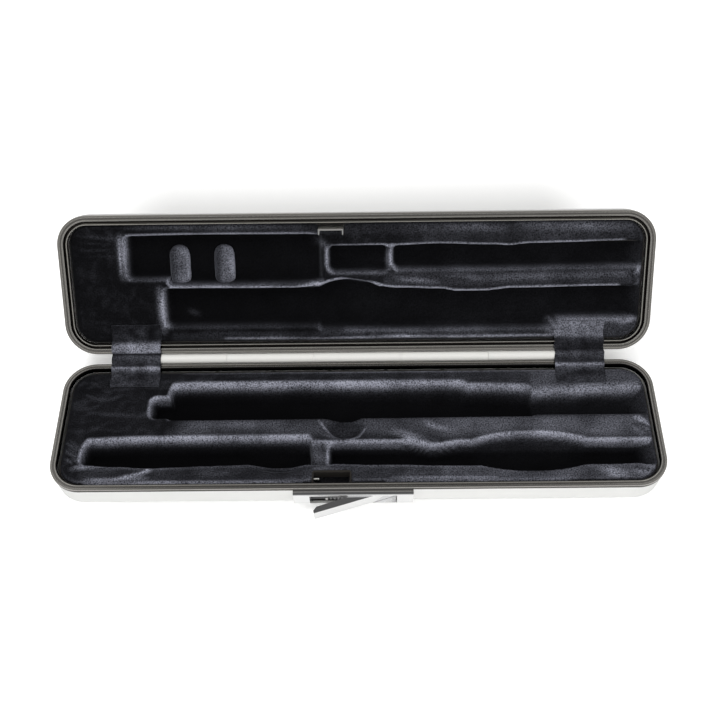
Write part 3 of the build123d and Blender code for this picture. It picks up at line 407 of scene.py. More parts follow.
def lid_depth(x, y):
    """Depth of the deepest pocket over each point."""
    top, ridge = upper_edge(x), np.minimum(ridge_edge(x), line(x, (-60, -3.5), (20, -3.5), (30, -4.7)))
    step = trough(x, y, (-171, -138), 3.6, top, LID_DEEP, (1.8, 1, 1.2, 1.2))
    upper_front = line(x, (-141, -0.8), (-60, -1.0), (-36, -0.6), (-22, 2.4))
    upper = trough(x, y, (-141, -24), upper_front, top, LID_DEEP, (1.2, 5, 1.6, 1.2))
    small_front = line(x, (-21, 7.6), (4, 7.6), (23, 7.0))
    small = trough(x, y, (-21, 23.5), small_front, 28, LID_DEEP, (1.5, 1.5, 1.5, 1.2), 3.2)
    long = trough(x, y, (26.5, LID_END), line(x, (26, 9), (100, 9), (211, 10)), band_edge(x), LID_DEEP,
                  (1.5, 12, 2.4, 1.2), 3.2)
    lower = trough(x, y, (-145, 30), line(x, (-145, -33.6), (20, -34)), ridge, LID_DEEP,
                   (1.6, 1.6, 2.2, 1.2))
    drop = trough(x, y, (DROP_FROM, 150), line(x, (-30, -36.6), (40, -37.5), (150, -37)), ridge, LID_DEEP,
                  (2.0, 1.6, 2.2, 1.2))
    far = trough(x, y, (140, LID_END), BLOCK_EDGE, ridge, LID_DEEP, (1.5, 12, 2.4, 1.2))
    wide = scoop(x, y, (-6, -15.85), (62, 37), LID_DEEP - 0.6, 0.09)
    slot = trough(x, y, (-27.0, -9.3), 39.4, PAST_EDGE, 4.0, SHEER, 0.5)
    flare = trough(x, y, (-35, -2), 40, PAST_EDGE, 1.1, (7, 7, 1.5, 1.5), 0.5)
    return np.max([step, upper, small, long, lower, drop, far, wide, slot, flare], axis=0)


print("lid: land at", LID_LAND, "mm, pockets", LID_DEEP, "mm deep")

# %% [markdown]
# The lid's cloth is slack along the hinge and bunched beside the right strap, and fine creases run in from
# its left corner. Its painted light is mostly those bright threads, painted highlights: three seams that
# follow the pockets' edges.

# %% Creases, nap and painted light of the lid
def lid_creases(x, y):
    """Height that the cloth's creases add."""
    return folds(
        x, y,
        (-207, 36, -176, 33, 0.35, 1.2),           # fine creases drawn in by the corner
        (-206, 31, -178, 30, 0.30, 1.2),
        (-205, 25, -179, 26, 0.25, 1.2),
        (-203, 20, -180, 21, 0.20, 1.2),
        (-172, 40.5, -80, 39.6, 0.5, 1.7),
        (-80, 40.2, -36, 41.0, 0.5, 1.7),
        (-120, -38.4, -60, -41.4, 0.7, 2.0),       # slack along the hinge edge
        (-70, -42.0, 10, -39.6, 0.8, 1.8),
        (0, -42.6, 60, -41.6, 0.6, 1.3),
        (56, -41.6, 140, -42.4, 0.6, 1.3),
        (64, 3.2, 96, 1.0, 0.8, 2.0),
        (30, 1.0, 60, -1.4, 0.7, 1.8),
        (98, 2.0, 150, 4.6, 0.5, 2.0),
        (148, -31, 160, -41, 1.2, 2.0),            # bunched cloth beside the right strap
        (140, -40, 156, -43, 0.8, 1.6),
        (196, -31.5, 208, -30.5, 0.8, 1.6),
        (203, 6, 210, 9, 0.7, 1.6),
        (203, -6, 211, 2, 0.6, 1.6),
    )


def lid_nap_and_light(x, y):
    """(share of the slopes' painted highlight that is kept, painted light and tone laid on top of it)"""
    # the slot by the catch and the lower row's left part keep little of the slopes' painted highlight
    highlight_kept = 1 - 0.9 * zone(x, y, -38, 0, 38, PAST_EDGE, 2)
    highlight_kept *= 1 - 0.7 * zone(x, y, -140, -10, -46, -28, 6)
    # painted light: paler towards the right, and paler over the zones listed below
    tone = 0.015 + 0.03 * ease((x + 120) / 240)
    tone += 0.05 * zone(x, y, -120, 205, 37, 46, 4) + 0.06 * zone(x, y, 50, 208, 30, 44, 6)
    tone += 0.07 * zone(x, y, 20, 205, -3, 8, 4) + 0.05 * zone(x, y, -140, 160, -46, -38, 3)
    tone += 0.09 * zone(x, y, 142, 212, -46, -30, 4)
    # painted highlights: bright threads along the pockets' edges, and softer ones below
    laid = seam(y, upper_edge(x) + 0.3, ease((x + 172) / 6) * ease((-26 - x) / 10), 1.1, 0.9)
    laid += seam(y, band_edge(x) + 0.3, ease((x + 19) / 4) * ease((200 - x) / 6), 1.5, 0.85)
    laid += seam(y, ridge_edge(x) + 0.5, ease((x + 142) / 4) * ease((198 - x) / 6), 1.7, 0.9)
    laid += folds(
        x, y,
        (-173.6, 36, -173.6, 5, 0.35, 2.6),
        (-175, 34, -175.5, 8, 0.35, 0.9),
        (-147.6, -4, -146.5, -36, 0.35, 2.6),
        (-146.4, -10, -145.6, -34, 0.45, 0.8),
        (-22.6, 12, -22.0, 28, 0.40, 1.1),
        (-30, 32, -23, 28, 0.25, 3.0),
        (25.0, 10, 25.0, 27, 0.50, 1.0),
        (22.5, 12, 23.5, 24, 0.30, 1.5),
        (-128, -23, -121, -26, 0.10, 2.0),
        (-170, 43.5, -60, 43.0, 0.10, 1.6),
        (-100, -42.4, -30, -42.8, 0.50, 0.9),
        (-40, -43.4, 40, -42.2, 0.40, 0.9),
        (20, -41.6, 80, -42.8, 0.45, 0.9),
        (70, -42.6, 150, -42.2, 0.60, 0.9),
        (150, -31, 208, -31, 0.20, 1.8),
        (146, -32, 158, -41, 0.50, 1.8),
        (198, -33, 210, -30, 0.25, 2.0),
        (208, 5, 211, 11, 0.30, 2.0),
        (60, 42, 110, 40, 0.12, 2.5),
        (120, 43, 200, 40, 0.16, 3.0),
        (30, 2, 60, 0, 0.12, 2.0),
        (86, 2, 200, 5, 0.12, 2.4),
    )
    return highlight_kept, 0.5 * tone + laid


# %% [markdown]
# The sheet starts as a bmesh grid. Its corners are squeezed into quarter discs, which keeps the squares
# even and leaves no cut edges. After the heights are set, two rounds of smoothing spread the points of
# the steep walls and soften every edge as cloth does. The border is pulled down round the core, and a
# Solidify modifier gives the cloth its thickness.

# %% Build a pressed lining
SPACING = 0.93            # grid spacing in mm, fine enough for the cloth's creases
PILE = 1.2                # thickness of the cloth with its pile
BEND = 2.4                # radius to which it bends over the core's outer edge
SKIRT = 5                 # depth of the border that is pulled down round the core
SLACK = (0.18, 30, 9)     # the cloth's long waves: height, length along the case and across it
PUCKER = (0.09, 7, 4)     # and its short ones
LIT_RIGHT, LIT_LONG = 0.8, 0.95          # painted highlight on right-facing and on lit long walls
HIGHLIGHT_MOST = 0.95          # share of that painted highlight at the land
HIGHLIGHT_DEPTH = 5.0          # below the land, over which a lit wall's painted highlight fades
DARK_DEPTH = 12           # and over which a pocket is painted darker, as painted shade
UNLIT_RIM, RIM_FADE = 1.0, 2.5          # how far in from its edge no painted highlight is laid, and over which it fades in
SMOOTHINGS = 2


def waves(x, y, height, along, across, seed):
    """Heights of soft waves in the cloth, of this length along the case and across it."""
    return height * np.array([noise.noise(Vector((a / along, b / across, seed))) for a, b in zip(x, y)])


def pressed_lining(half, radius, land, depth, creases, nap_and_light_at, bright, seed):
    """A velvet sheet over an insert, in mm in its own frame. bright is the way its lit long walls face."""
    bm = bmesh.new()
    columns, rows = (round(2 * size / SPACING) for size in half)
    bmesh.ops.create_grid(bm, x_segments=columns, y_segments=rows, size=1.0)
    bmesh.ops.scale(bm, vec=(half[0], half[1], 1), verts=bm.verts)
    for v in bm.verts:
        u, w = ((abs(v.co[i]) - half[i] + radius) / radius for i in (0, 1))
        if u > 0 and w > 0:
            v.co.x = math.copysign(half[0] - radius + radius * u * math.sqrt(1 - w * w / 2), v.co.x)
            v.co.y = math.copysign(half[1] - radius + radius * w * math.sqrt(1 - u * u / 2), v.co.y)
    x, y = (np.array([v.co[i] for v in bm.verts]) for i in (0, 1))
    corner_x, corner_y = np.abs(x) - half[0] + radius, np.abs(y) - half[1] + radius
    edge = radius - np.hypot(np.maximum(corner_x, 0), np.maximum(corner_y, 0))
    edge = np.where((corner_x > 0) & (corner_y > 0), edge, np.minimum(half[0] - abs(x), half[1] - abs(y)))
    fall = BEND - np.sqrt(np.maximum(0, BEND**2 - np.clip(BEND - edge, 0, BEND) ** 2))
    height = land - depth(x, y) - fall + creases(x, y)
    height = height + waves(x, y, *SLACK, seed) + waves(x, y, *PUCKER, seed + 5)
    for v, z in zip(bm.verts, height):
        v.co.z = z
    inner = [v for v in bm.verts if not v.is_boundary]
    for _ in range(SMOOTHINGS):
        bmesh.ops.smooth_vert(bm, verts=inner, factor=0.5, use_axis_x=True, use_axis_y=True, use_axis_z=True)
    bm.normal_update()
    # painted light: a painted highlight on slopes that face the lamps, fading below the land and held back at the
    # edge, and painted shade deeper in the pockets
    normal = np.array([v.normal for v in bm.verts])
    below = land - np.array([v.co.z for v in bm.verts])
    sunk = np.maximum(0, below)
    lit = LIT_RIGHT * np.maximum(0, normal[:, 0]) + LIT_LONG * np.maximum(0, normal[:, 1] * bright)
    lit *= ease((edge - UNLIT_RIM) / RIM_FADE)
    highlight_kept, laid = nap_and_light_at(x, y)
    pale_nap_and_light = np.clip(lit * np.exp(-((sunk / HIGHLIGHT_DEPTH) ** 2)) * highlight_kept * HIGHLIGHT_MOST + laid, 0, 1)
    nap_and_painted_light = bm.verts.layers.float.new("nap_and_painted_light")
    for v, share in zip(bm.verts, pale_nap_and_light * np.exp(-((sunk / DARK_DEPTH) ** 2))):
        v[nap_and_painted_light] = share
    border = [e for e in bm.edges if e.is_boundary]
    skirt = bmesh.ops.extrude_edge_only(bm, edges=border)["geom"]
    lowered = [g for g in skirt if isinstance(g, bmesh.types.BMVert)]
    bmesh.ops.translate(bm, verts=lowered, vec=(0, 0, -SKIRT))
    print("lining faces", len(bm.faces), "deepest", round(float(below.max()), 1), "mm")
    return bm


# %% [markdown]
# Each soft piece is finished in one way: its mesh is put in place and scaled to metres, its object stays at
# the origin, the solid it stands for is hidden and, if it doesn't bend, it is parented to the body it rides on.

# %% Finish a soft piece
def finish(bm, name, material, replaced, body=None, place=None, wall=None):
    """Turns a bmesh in mm into a piece. wall is a sheet's thickness and offset: -1 adds it all below it."""
    if place is not None:
        bmesh.ops.transform(bm, matrix=place, verts=bm.verts)
    bmesh.ops.scale(bm, vec=(MM, MM, MM), verts=bm.verts)
    mesh = bpy.data.meshes.new(name)
    bm.to_mesh(mesh)
    bm.free()
    mesh.shade_smooth()
    mesh.materials.append(material)
    piece = bpy.data.objects.new(name, mesh)
    bpy.context.scene.collection.objects.link(piece)
    if wall:
        thickness = piece.modifiers.new("thickness", "SOLIDIFY")
        thickness.thickness, thickness.offset = wall[0] * MM, wall[1]
    if body:
        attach(piece, body)
    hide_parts(replaced)
    return piece


# %% [markdown]
# Both linings are made by the same steps. In the base the walls that face the front are the lit ones. The
# open lid leans back, so there the walls that face away from the hinge are lit, and only a little.

# %% Linings of base and lid
base_half = (velvet_high.x, velvet_high.y)
base_radius = CORNER_RADIUS - (HALF_LENGTH - velvet_high.x)
base_sheet = pressed_lining(
    base_half, base_radius, BASE_LAND, base_depth, base_creases, base_nap_and_light, -1, 3.0
)
finish(
    base_sheet, "base_lining", lining_velvet, "base_velvet", "base", wall=(PILE, -1)
)
lid_inset = HALF_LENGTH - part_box("lid_velvet")[1].x / MM
lid_half = (HALF_LENGTH - lid_inset, HALF_DEPTH - lid_inset)
lid_sheet = pressed_lining(
    lid_half, CORNER_RADIUS - lid_inset, LID_LAND, lid_depth, lid_creases, lid_nap_and_light, 0.2, 11.0
)
finish(
    lid_sheet, "lid_lining", lining_velvet, "lid_velvet", "lid", LID_PLACE, (PILE, -1)
)

# %% [markdown]
# ## Pads
# Two soft pads cross the lid's upper pocket and press on the body joint. Each is a foam roll under
# velvet: full along its middle, rounded over at the upper end and drawn down into the ridge at the lower
# one. A ball with its poles at the two ends is a good start, because its rings can then be spaced out
# into a roll and its underside laid flat. Their colour carries painted light: a painted highlight on the
# sides that face right, most along the right flank towards the lower end, and paler at the lower end.

# %% Pads in the lid
PAD_AT = (-132.6, -99.1)
PAD_SIZE = (15.6, 31.0, 8.0)
PAD_START = -3.0          # lower end of the pads, in the ridge's foot
PAD_FLOOR = 4.9           # height of the pocket's floor in the lid


def pad(bm, x):
    """One roll across the pocket, with its poles at its ends."""
    turned = Matrix.Rotation(math.pi / 2, 3, "X")
    made = bmesh.ops.create_uvsphere(bm, u_segments=36, v_segments=26, radius=1.0)["verts"]
    bmesh.ops.rotate(bm, verts=made, matrix=turned)
    for v in made:
        ring = math.hypot(v.co.x, v.co.z)
        along = math.copysign(abs(v.co.y) ** 0.7, v.co.y)
        # full along the middle, and blunter at the lower end than at the upper one
        full = (1 - abs(along) ** 4.5) ** 0.5 if along > 0 else (1 - abs(along) ** 6) ** 0.6
        if ring > 1e-6:
            v.co.x, v.co.z = v.co.x / ring * full, v.co.z / ring * full
        swell = 1 + 0.05 * noise.noise(Vector((v.co.x * 2, along * 4, x)))
        v.co = Vector((v.co.x * swell, along, max(v.co.z, 0) * swell))
    bmesh.ops.scale(bm, vec=(PAD_SIZE[0] / 2, PAD_SIZE[1] / 2, PAD_SIZE[2]), verts=made)
    bmesh.ops.translate(bm, verts=made, vec=(x, PAD_START + PAD_SIZE[1] / 2, PAD_FLOOR))


bm = bmesh.new()
for x in PAD_AT:
    pad(bm, x)
bmesh.ops.remove_doubles(bm, verts=bm.verts, dist=0.01)
nap_and_painted_light = bm.verts.layers.float.new("nap_and_painted_light")
bm.normal_update()
for v in bm.verts:
    # painted highlight on the sides that face right, most on the right flank towards the lower end, and paler at
    # the lower end
    upper = (v.co.y - PAD_START) / PAD_SIZE[1]
    lit_flank = max(0.0, v.normal.x - 0.6) * min(1.0, 2 * (1 - upper))
    v[nap_and_painted_light] = max(0.1, 0.22 + 0.26 * v.normal.x + 1.6 * lit_flank + 0.25 * max(0.0, 0.35 - upper))
lid_pads = finish(bm, "velvet_pads", lining_velvet, "lid_pads", "lid", LID_PLACE)
rounding = lid_pads.modifiers.new("rounding", "SUBSURF")
rounding.levels = rounding.render_levels = 1
print("pads at", PAD_AT)

# %% [markdown]
# ## Straps
# Each strap is a velvet ribbon, glued down on both inserts, that goes over both rims and stops the lid.
# It is a flat strip of quads laid along a path in the YZ plane. A point of the path also carries its
# painted light there: the ribbon is pale where it is pulled over the lid's rim, a painted highlight, black
# in the fold behind it, painted shade, and grey on its glued ends.

# %% Path of the straps
STRAP_WIDTH = strap_high.x - strap_low.x
STRAP_THICK = 1.0
STRAP_X = (strap_high.x + strap_low.x) / 2
STRAP_LIFT = 0.75         # of its middle over the linings
BASE_RIM_WIDTH, LID_RIM_WIDTH = 4.5, 7.2
WRINKLE, CRUMPLE = 0.55, 0.22            # heights of its long and short waves
FRAY, TEAR = 0.7, 0.6     # how far its sides and its ends stray
PATH_STEPS = 24           # points from one point of the path to the next


def lid_point(y, z):
    """A point of the lid's own YZ plane, where the open lid holds it."""
    placed = LID_PLACE @ Vector((0, y, z))
    return placed.y, placed.z


def strap_path(pale, tab):
    """(y, z, painted light) along a strap, from its end in the base to its end in the lid."""
    base_lip, lid_lip = HALF_DEPTH - BASE_RIM_WIDTH, -HALF_DEPTH + LID_RIM_WIDTH
    base_top, lid_top = BASE_LAND + STRAP_LIFT, LID_LAND + STRAP_LIFT
    # third column: painted light, a painted highlight over the lid's rim and painted shade in the fold behind it
    return [
        (base_lip - 14.4, base_top, 0.08),
        (base_lip - 8.0, base_top + 0.2, 0.06),
        (base_lip - 3.4, base_top + 0.3, 0.09),
        (base_lip - 1.2, BASE_LAND + 2.0, 0.20),
        (base_lip + 0.1, RIM_FACE + 0.8, 0.50),
        (base_lip + 1.2, RIM_FACE + 1.25, 0.10),
        (HALF_DEPTH - 0.2, RIM_FACE + 1.6, 0.08),
        (HINGE_AT.y - 1.4, HINGE_AT.z + 4.2, 0.12),
        (*lid_point(-HALF_DEPTH + 0.2, LID_HEIGHT + 0.9), 0.04),
        (*lid_point(-HALF_DEPTH + 2.0, LID_HEIGHT + 1.1), pale),
        (*lid_point(-HALF_DEPTH + 4.5, LID_HEIGHT + 1.1), pale),
        (*lid_point(lid_lip - 0.6, LID_HEIGHT + 0.9), pale),
        (*lid_point(lid_lip + 1.6, LID_LAND + 2.2), 0.10),
        (*lid_point(lid_lip + 3.6, lid_top + 0.2), tab),
        (*lid_point(lid_lip + 9.0, lid_top), tab),
        (*lid_point(lid_lip + 14.6, lid_top), tab),
    ]


def along_path(path, count):
    """count points evenly spaced along a smooth curve through the path, and its length."""
    p = np.array(path)
    p = np.vstack([2 * p[0] - p[1], p, 2 * p[-1] - p[-2]])
    t = np.linspace(0, 1, PATH_STEPS, endpoint=False)[:, None]
    pieces = []
    for a, b, c, d in zip(p, p[1:], p[2:], p[3:]):
        pieces.append(
            0.5 * (2 * b + (c - a) * t + (2 * a - 5 * b + 4 * c - d) * t**2 + (3 * b - a - 3 * c + d) * t**3)
        )
    curve = np.vstack([*pieces, p[-2]])
    reach = np.concatenate([[0], np.cumsum(np.hypot(*np.diff(curve[:, :2], axis=0).T))])
    even = np.linspace(0, reach[-1], count)
    return np.stack([np.interp(even, reach, column) for column in curve.T], axis=1), reach[-1]


print("straps", round(STRAP_WIDTH, 1), "mm wide at", round(STRAP_X, 1), "mm each side of the middle")

# %% [markdown]
# Along the path the ribbon gets its wrinkles, ragged sides and torn ends, between its two glued ends.

# %% Two straps
def strap(name, x, seed, node, pale, tab):
    """One ribbon at x. pale is its painted light over the lid's rim, a painted highlight, and tab that of its
    glued end in the lid.
    """
    rows, columns = 120, 48
    points, length = along_path(strap_path(pale, tab), rows + 1)
    lengthwise = np.gradient(points[:, :2], axis=0)
    side = np.stack([-lengthwise[:, 1], lengthwise[:, 0]], axis=1) / np.hypot(*lengthwise.T)[:, None]
    bm = bmesh.new()
    bmesh.ops.create_grid(bm, x_segments=columns, y_segments=rows, size=0.5)
    nap_and_painted_light = bm.verts.layers.float.new("nap_and_painted_light")
    for v in bm.verts:
        across, share = v.co.x, v.co.y + 0.5
        row = min(rows, max(0, round(share * rows)))
        glued = min(1.0, 6 * min(share, 1 - share))
        wrinkle = noise.noise(Vector((across * 3.2, share * 6.5, seed))) * WRINKLE * glued
        wrinkle += noise.noise(Vector((across * 8.0, share * 14.0, seed + 4))) * CRUMPLE
        ragged = noise.noise(Vector((share * 9, seed, round(across) * 3.0))) * FRAY * abs(2 * across) ** 10
        torn = noise.noise(Vector((across * 7, seed, 1.0))) * TEAR * max(0.0, 1 - 14 * min(share, 1 - share))
        y, z = points[row][:2] + side[row] * max(-0.15, wrinkle)
        along = lengthwise[row] / np.hypot(*lengthwise[row]) * torn
        v.co = Vector((x + across * STRAP_WIDTH + ragged, y + along[0], z + along[1]))
        # painted light from the path, with random patches
        patch = noise.noise(Vector((across * 5, share * 9, seed + 9)))
        v[nap_and_painted_light] = max(0.0, points[row][2] * (1 + 0.5 * patch) + 0.02 * patch)
    bmesh.ops.recalc_face_normals(bm, faces=bm.faces)
    if sum(f.normal.z for f in bm.faces) < 0:
        bmesh.ops.reverse_faces(bm, faces=bm.faces)
    area = sum(f.calc_area() for f in bm.faces)
    ribbon = finish(bm, name, strap_velvet, node, wall=(STRAP_THICK, 0))
    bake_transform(ribbon)
    print(name, "flat", round(STRAP_WIDTH, 1), "x", round(length, 1), "mm, area", round(area, 0))


strap("ribbon_left", -STRAP_X, 2.0, "left_strap", 0.42, 0.03)
strap("ribbon_right", STRAP_X, 7.0, "right_strap", 0.04, 0.26)

# %% [markdown]
# ## Moulded shells
# The shells are glossy white ABS from a polished mould. ABS reflects a little less than glass, and a
# moulded skin is never quite flat, so a shallow ripple of a few millimetres breaks its highlights.

# %% White ABS
white_abs, abs_surface = new_material("moulded_abs_white", Roughness=0.28, IOR=1.53)
place = add(white_abs, "TexCoord").outputs["Object"]
cloud = add(white_abs, "TexNoise", {"Vector": place, "Scale": 1 / (40 * MM), "Detail": 2.0})
tone = add(
    white_abs, "Mix", {0: cloud.outputs["Fac"], 6: chip("#e9e9e7"), 7: chip("#f2f2f0")}, data_type="RGBA"
)
white_abs.node_tree.links.new(tone.outputs[2], abs_surface.inputs["Base Color"])
ripple = add(white_abs, "TexNoise", {"Vector": place, "Scale": 1 / (2.2 * MM), "Detail": 1.0})
skin = add(white_abs, "Bump", {"Height": ripple.outputs["Fac"], "Strength": 0.12, "Distance": 0.1 * MM})
white_abs.node_tree.links.new(skin.outputs["Normal"], abs_surface.inputs["Normal"])
print("shells:", white_abs.name)

# %% [markdown]
# ## Metals
# Most metal here is the same recipe with its own colour, roughness and drawing lines: metallic 1, a tone
# that drifts slightly, and fine scratches stretched along the direction in which the metal was drawn or
# brushed. The latch is chromed zinc, the small parts plain steel. The hinge isn't bare: it is powder
# coated white, to match the shells.

# %% Metal finishes
def metal(name, dark, pale, roughness, grain, stretch, depth):
    """A drawn or plated metal, with scratches grain mm apart, stretched along the case, of this depth."""
    material, surface = new_material(name, Metallic=1.0, Roughness=roughness)
    place = add(material, "TexCoord").outputs["Object"]
    long = add(material, "Mapping", {"Vector": place, "Scale": (1 / stretch, 1, 1)}).outputs[0]
    lines = add(material, "TexNoise", {"Vector": long, "Scale": 1 / (grain * MM), "Detail": 3.0})
    drift = add(material, "TexNoise", {"Vector": place, "Scale": 1 / (30 * MM), "Detail": 2.0})
    tone = add(
        material, "Mix", {0: drift.outputs["Fac"], 6: chip(dark), 7: chip(pale)}, data_type="RGBA"
    )
    material.node_tree.links.new(tone.outputs[2], surface.inputs["Base Color"])
    bump = add(
        material, "Bump", {"Height": lines.outputs["Fac"], "Strength": depth, "Distance": 0.05 * MM}
    )
    material.node_tree.links.new(bump.outputs["Normal"], surface.inputs["Normal"])
    return material


powder, powder_surface = new_material("powder_coated_aluminium", Roughness=0.42, IOR=1.5)
place = add(powder, "TexCoord").outputs["Object"]
peel = add(powder, "TexNoise", {"Vector": place, "Scale": 1 / (0.8 * MM), "Detail": 1.0})
tone = add(powder, "Mix", {0: peel.outputs["Fac"], 6: chip("#dddcd8"), 7: chip("#e6e5e1")}, data_type="RGBA")
powder.node_tree.links.new(tone.outputs[2], powder_surface.inputs["Base Color"])
skin = add(powder, "Bump", {"Height": peel.outputs["Fac"], "Strength": 0.15, "Distance": 0.05 * MM})
powder.node_tree.links.new(skin.outputs["Normal"], powder_surface.inputs["Normal"])

# %% [markdown]
# The rims are aluminium, drawn through a die and anodised to a dark warm grey. Die lines follow the
# section right round the corners, so their pattern reads how far a point lies inside the rim's outline:
# the distance to a rectangle with rounded corners, worked out in nodes. The height darkens the grooves and
# everything below the face as painted shade, and the same numbers give the innermost edge its own tone:
# black where the base's rim turns down to the lining, as painted shade, and paler on the lid's thin lip,
# as a painted highlight.

# %% Rim finish
GROOVE_DEEP = 1.5         # below the face, where the painted shade is full
EDGE_SOFT = 0.1           # over which the tones change
DIE_DRIFT = 0.012         # how little the die lines change along the rim


def drawn_rim(name, to_flat, face, inner_from, inner_painted_light):
    """Anodised rim. to_flat turns object space into the rim's flat frame; face is its height there, in mm.

    inner_from is how far in from the outline the innermost edge begins, in mm, and the last argument its colour,
    painted shade on the base's rim and a painted highlight on the lid's.
    """
    material, surface = new_material(name, Metallic=1.0, Roughness=0.2)
    place = add(material, "TexCoord").outputs["Object"]
    turn, shift = to_flat.to_euler(), to_flat.translation * MM
    flat = add(material, "Mapping", {"Vector": place, "Location": shift, "Rotation": turn}).outputs[0]
    inner = ((HALF_LENGTH - CORNER_RADIUS) * MM, (HALF_DEPTH - CORNER_RADIUS) * MM)
    reach = distance_outside(material, flat, inner)
    inset = add(material, "Math", {0: CORNER_RADIUS * MM, 1: reach}, operation="SUBTRACT").outputs[0]
    height = add(material, "SeparateXYZ", {0: flat}).outputs["Z"]
    groove = add(
        material, "MapRange", {"Value": height, 1: (face - GROOVE_DEEP) * MM, 2: (face - EDGE_SOFT) * MM}
    )
    lip_edge = {"Value": inset, 1: (inner_from - EDGE_SOFT) * MM, 2: (inner_from + EDGE_SOFT) * MM}
    lip = add(material, "MapRange", lip_edge)
    section = add(material, "CombineXYZ", {0: inset, 1: height})
    round_it = add(material, "Mapping", {"Vector": flat, "Scale": (DIE_DRIFT, DIE_DRIFT, 0)}).outputs[0]
    die = add(material, "VectorMath", {0: section.outputs[0], 1: round_it}, operation="ADD").outputs[0]
    lines = add(material, "TexNoise", {"Vector": die, "Scale": 1 / (0.9 * MM), "Detail": 1.0})
    tone = add(
        material, "Mix", {0: lines.outputs["Fac"], 6: chip("#b3b0ab"), 7: chip("#c2bfb9")}, data_type="RGBA"
    )
    # painted shade: darker below the face, in the grooves and down the rim's outer side
    groove_shaded = add(
        material, "Mix", {0: groove.outputs[0], 6: chip("#34322f"), 7: tone.outputs[2]}, data_type="RGBA"
    )
    # the innermost edge in its own colour of painted light
    both = add(
        material, "Mix", {0: lip.outputs[0], 6: groove_shaded.outputs[2], 7: chip(inner_painted_light)}, data_type="RGBA"
    )
    material.node_tree.links.new(both.outputs[2], surface.inputs["Base Color"])
    bump = add(material, "Bump", {"Height": lines.outputs["Fac"], "Strength": 0.03, "Distance": 0.05 * MM})
    material.node_tree.links.new(bump.outputs["Normal"], surface.inputs["Normal"])
    return material


# innermost edges: painted shade on the base's, a painted highlight on the lid's
base_rim_finish = drawn_rim("anodised_rim_base", Matrix.Identity(4), RIM_FACE, 4.0, "#2a2826")
lid_rim_finish = drawn_rim("anodised_rim_lid", LID_PLACE.inverted(), LID_HEIGHT, 6.35, "#bcb9b2")
finishes = {
    "latch_chrome": metal("chromed_zinc", "#ececed", "#f3f3f3", 0.08, 1.4, 3, 0.03),
    "latch_steel": metal("stamped_steel", "#ecebe7", "#f3f2ef", 0.30, 0.6, 8, 0.10),
    "spring_steel": metal("spring_steel_wire", "#e2e2e2", "#ececec", 0.18, 0.4, 2, 0.05),
    "hinge_metal": powder,
    "rivet_metal": metal("aluminium_rivet", "#c0c0be", "#cfcfcd", 0.30, 0.8, 1, 0.06),
    "white_abs": white_abs,
}
rim_finishes = {"base_rim": base_rim_finish, "lid_rim": lid_rim_finish}
print("finishes:", [look.name for look in (*finishes.values(), *rim_finishes.values())])

# %% [markdown]
# ## Cores
# Under the velvet lie plywood blocks in the base and a pressed pulp tray in the lid. They hardly show,
# but a look through the catch's slot reaches them, so both have their fibre: long streaks in the wood,
# short flecks in pulp.

# %% Wood and pulp
def fibrous(name, dark, pale, spacing, stretch):
    """A matt core: fibres stretched along the case."""
    material, surface = new_material(name, Roughness=0.85, IOR=1.45)
    place = add(material, "TexCoord").outputs["Object"]
    long = add(material, "Mapping", {"Vector": place, "Scale": (1 / stretch, 1, 1)}).outputs[0]
    fibre = add(material, "TexNoise", {"Vector": long, "Scale": 1 / (spacing * MM), "Detail": 4.0})
    tone = add(
        material, "Mix", {0: fibre.outputs["Fac"], 6: chip(dark), 7: chip(pale)}, data_type="RGBA"
    )
    material.node_tree.links.new(tone.outputs[2], surface.inputs["Base Color"])
    return material


finishes["insert_wood"] = fibrous("birch_plywood", "#1d1b19", "#2b2825", 0.8, 18)
finishes["insert_pulp"] = fibrous("pressed_pulp", "#1c1b1a", "#2a2928", 1.2, 3)
print("cores:", finishes["insert_wood"].name, finishes["insert_pulp"].name)

# %% [markdown]
# Every CAD node that still shows gets the finish of its material slot. The two rims have finishes of
# their own, because each is measured from its own face. Any material that a node already has is cleared.

# %% Put a finish on every CAD node that shows
slots = {part["node"]: part["material_slot"] for part in frame["record"]["subparts"]}
for name, node in frame["nodes"].items():
    if node.hide_render:
        continue
    look = rim_finishes.get(name) or finishes[slots[name]]
    node.data.materials.clear()
    node.data.materials.append(look)
    print(name, "->", look.name)

# %% [markdown]
# ## Studio
# The photograph has a seamless white ground and soft light from the front and above. The floor is a plain
# white sheet that keeps the case's shadow; away from the case it glows a little for the camera, as an
# overlit sweep does. Polished metal shows what stands round it, so what it sees matters more than the
# lamps: mostly a white sweep, with a dim ceiling high up at the back and a dim room in front, which turn
# the latch's top and the faces of the rims dark. The camera sees plain white, and the light that falls on
# the case is set apart from both.

# %% Floor
SHADED = (0.155, 0.1075)  # half size in metres of the ground that doesn't glow, from the case's middle back
GLOW_REACH, GLOW = 0.11, 0.65            # how far past it the glow is full, in metres, and its strength

bm = bmesh.new()
bmesh.ops.create_grid(bm, x_segments=2, y_segments=2, size=4.0)
floor_mesh = bpy.data.meshes.new("floor")
bm.to_mesh(floor_mesh)
bm.free()
floor = bpy.data.objects.new("floor", floor_mesh)
bpy.context.scene.collection.objects.link(floor)
paper, paper_surface = new_material("white_paper", Roughness=0.9)
paper_surface.inputs["Base Color"].default_value = chip("#f6f6f5")
seen = add(paper, "LightPath").outputs["Is Camera Ray"]
place = add(paper, "TexCoord").outputs["Object"]
centred = add(paper, "VectorMath", {0: place, 1: (0, SHADED[1], 0)}, operation="SUBTRACT").outputs[0]
away = distance_outside(paper, centred, SHADED)
ramp = {"Value": away, 1: 0.0, 2: GLOW_REACH, 3: 0.0, 4: GLOW}
fade = add(paper, "MapRange", ramp, interpolation_type="SMOOTHSTEP").outputs[0]
glow = add(paper, "Emission", {"Color": (1, 1, 1, 1), "Strength": fade})
none = add(paper, "Emission", {"Strength": 0.0})
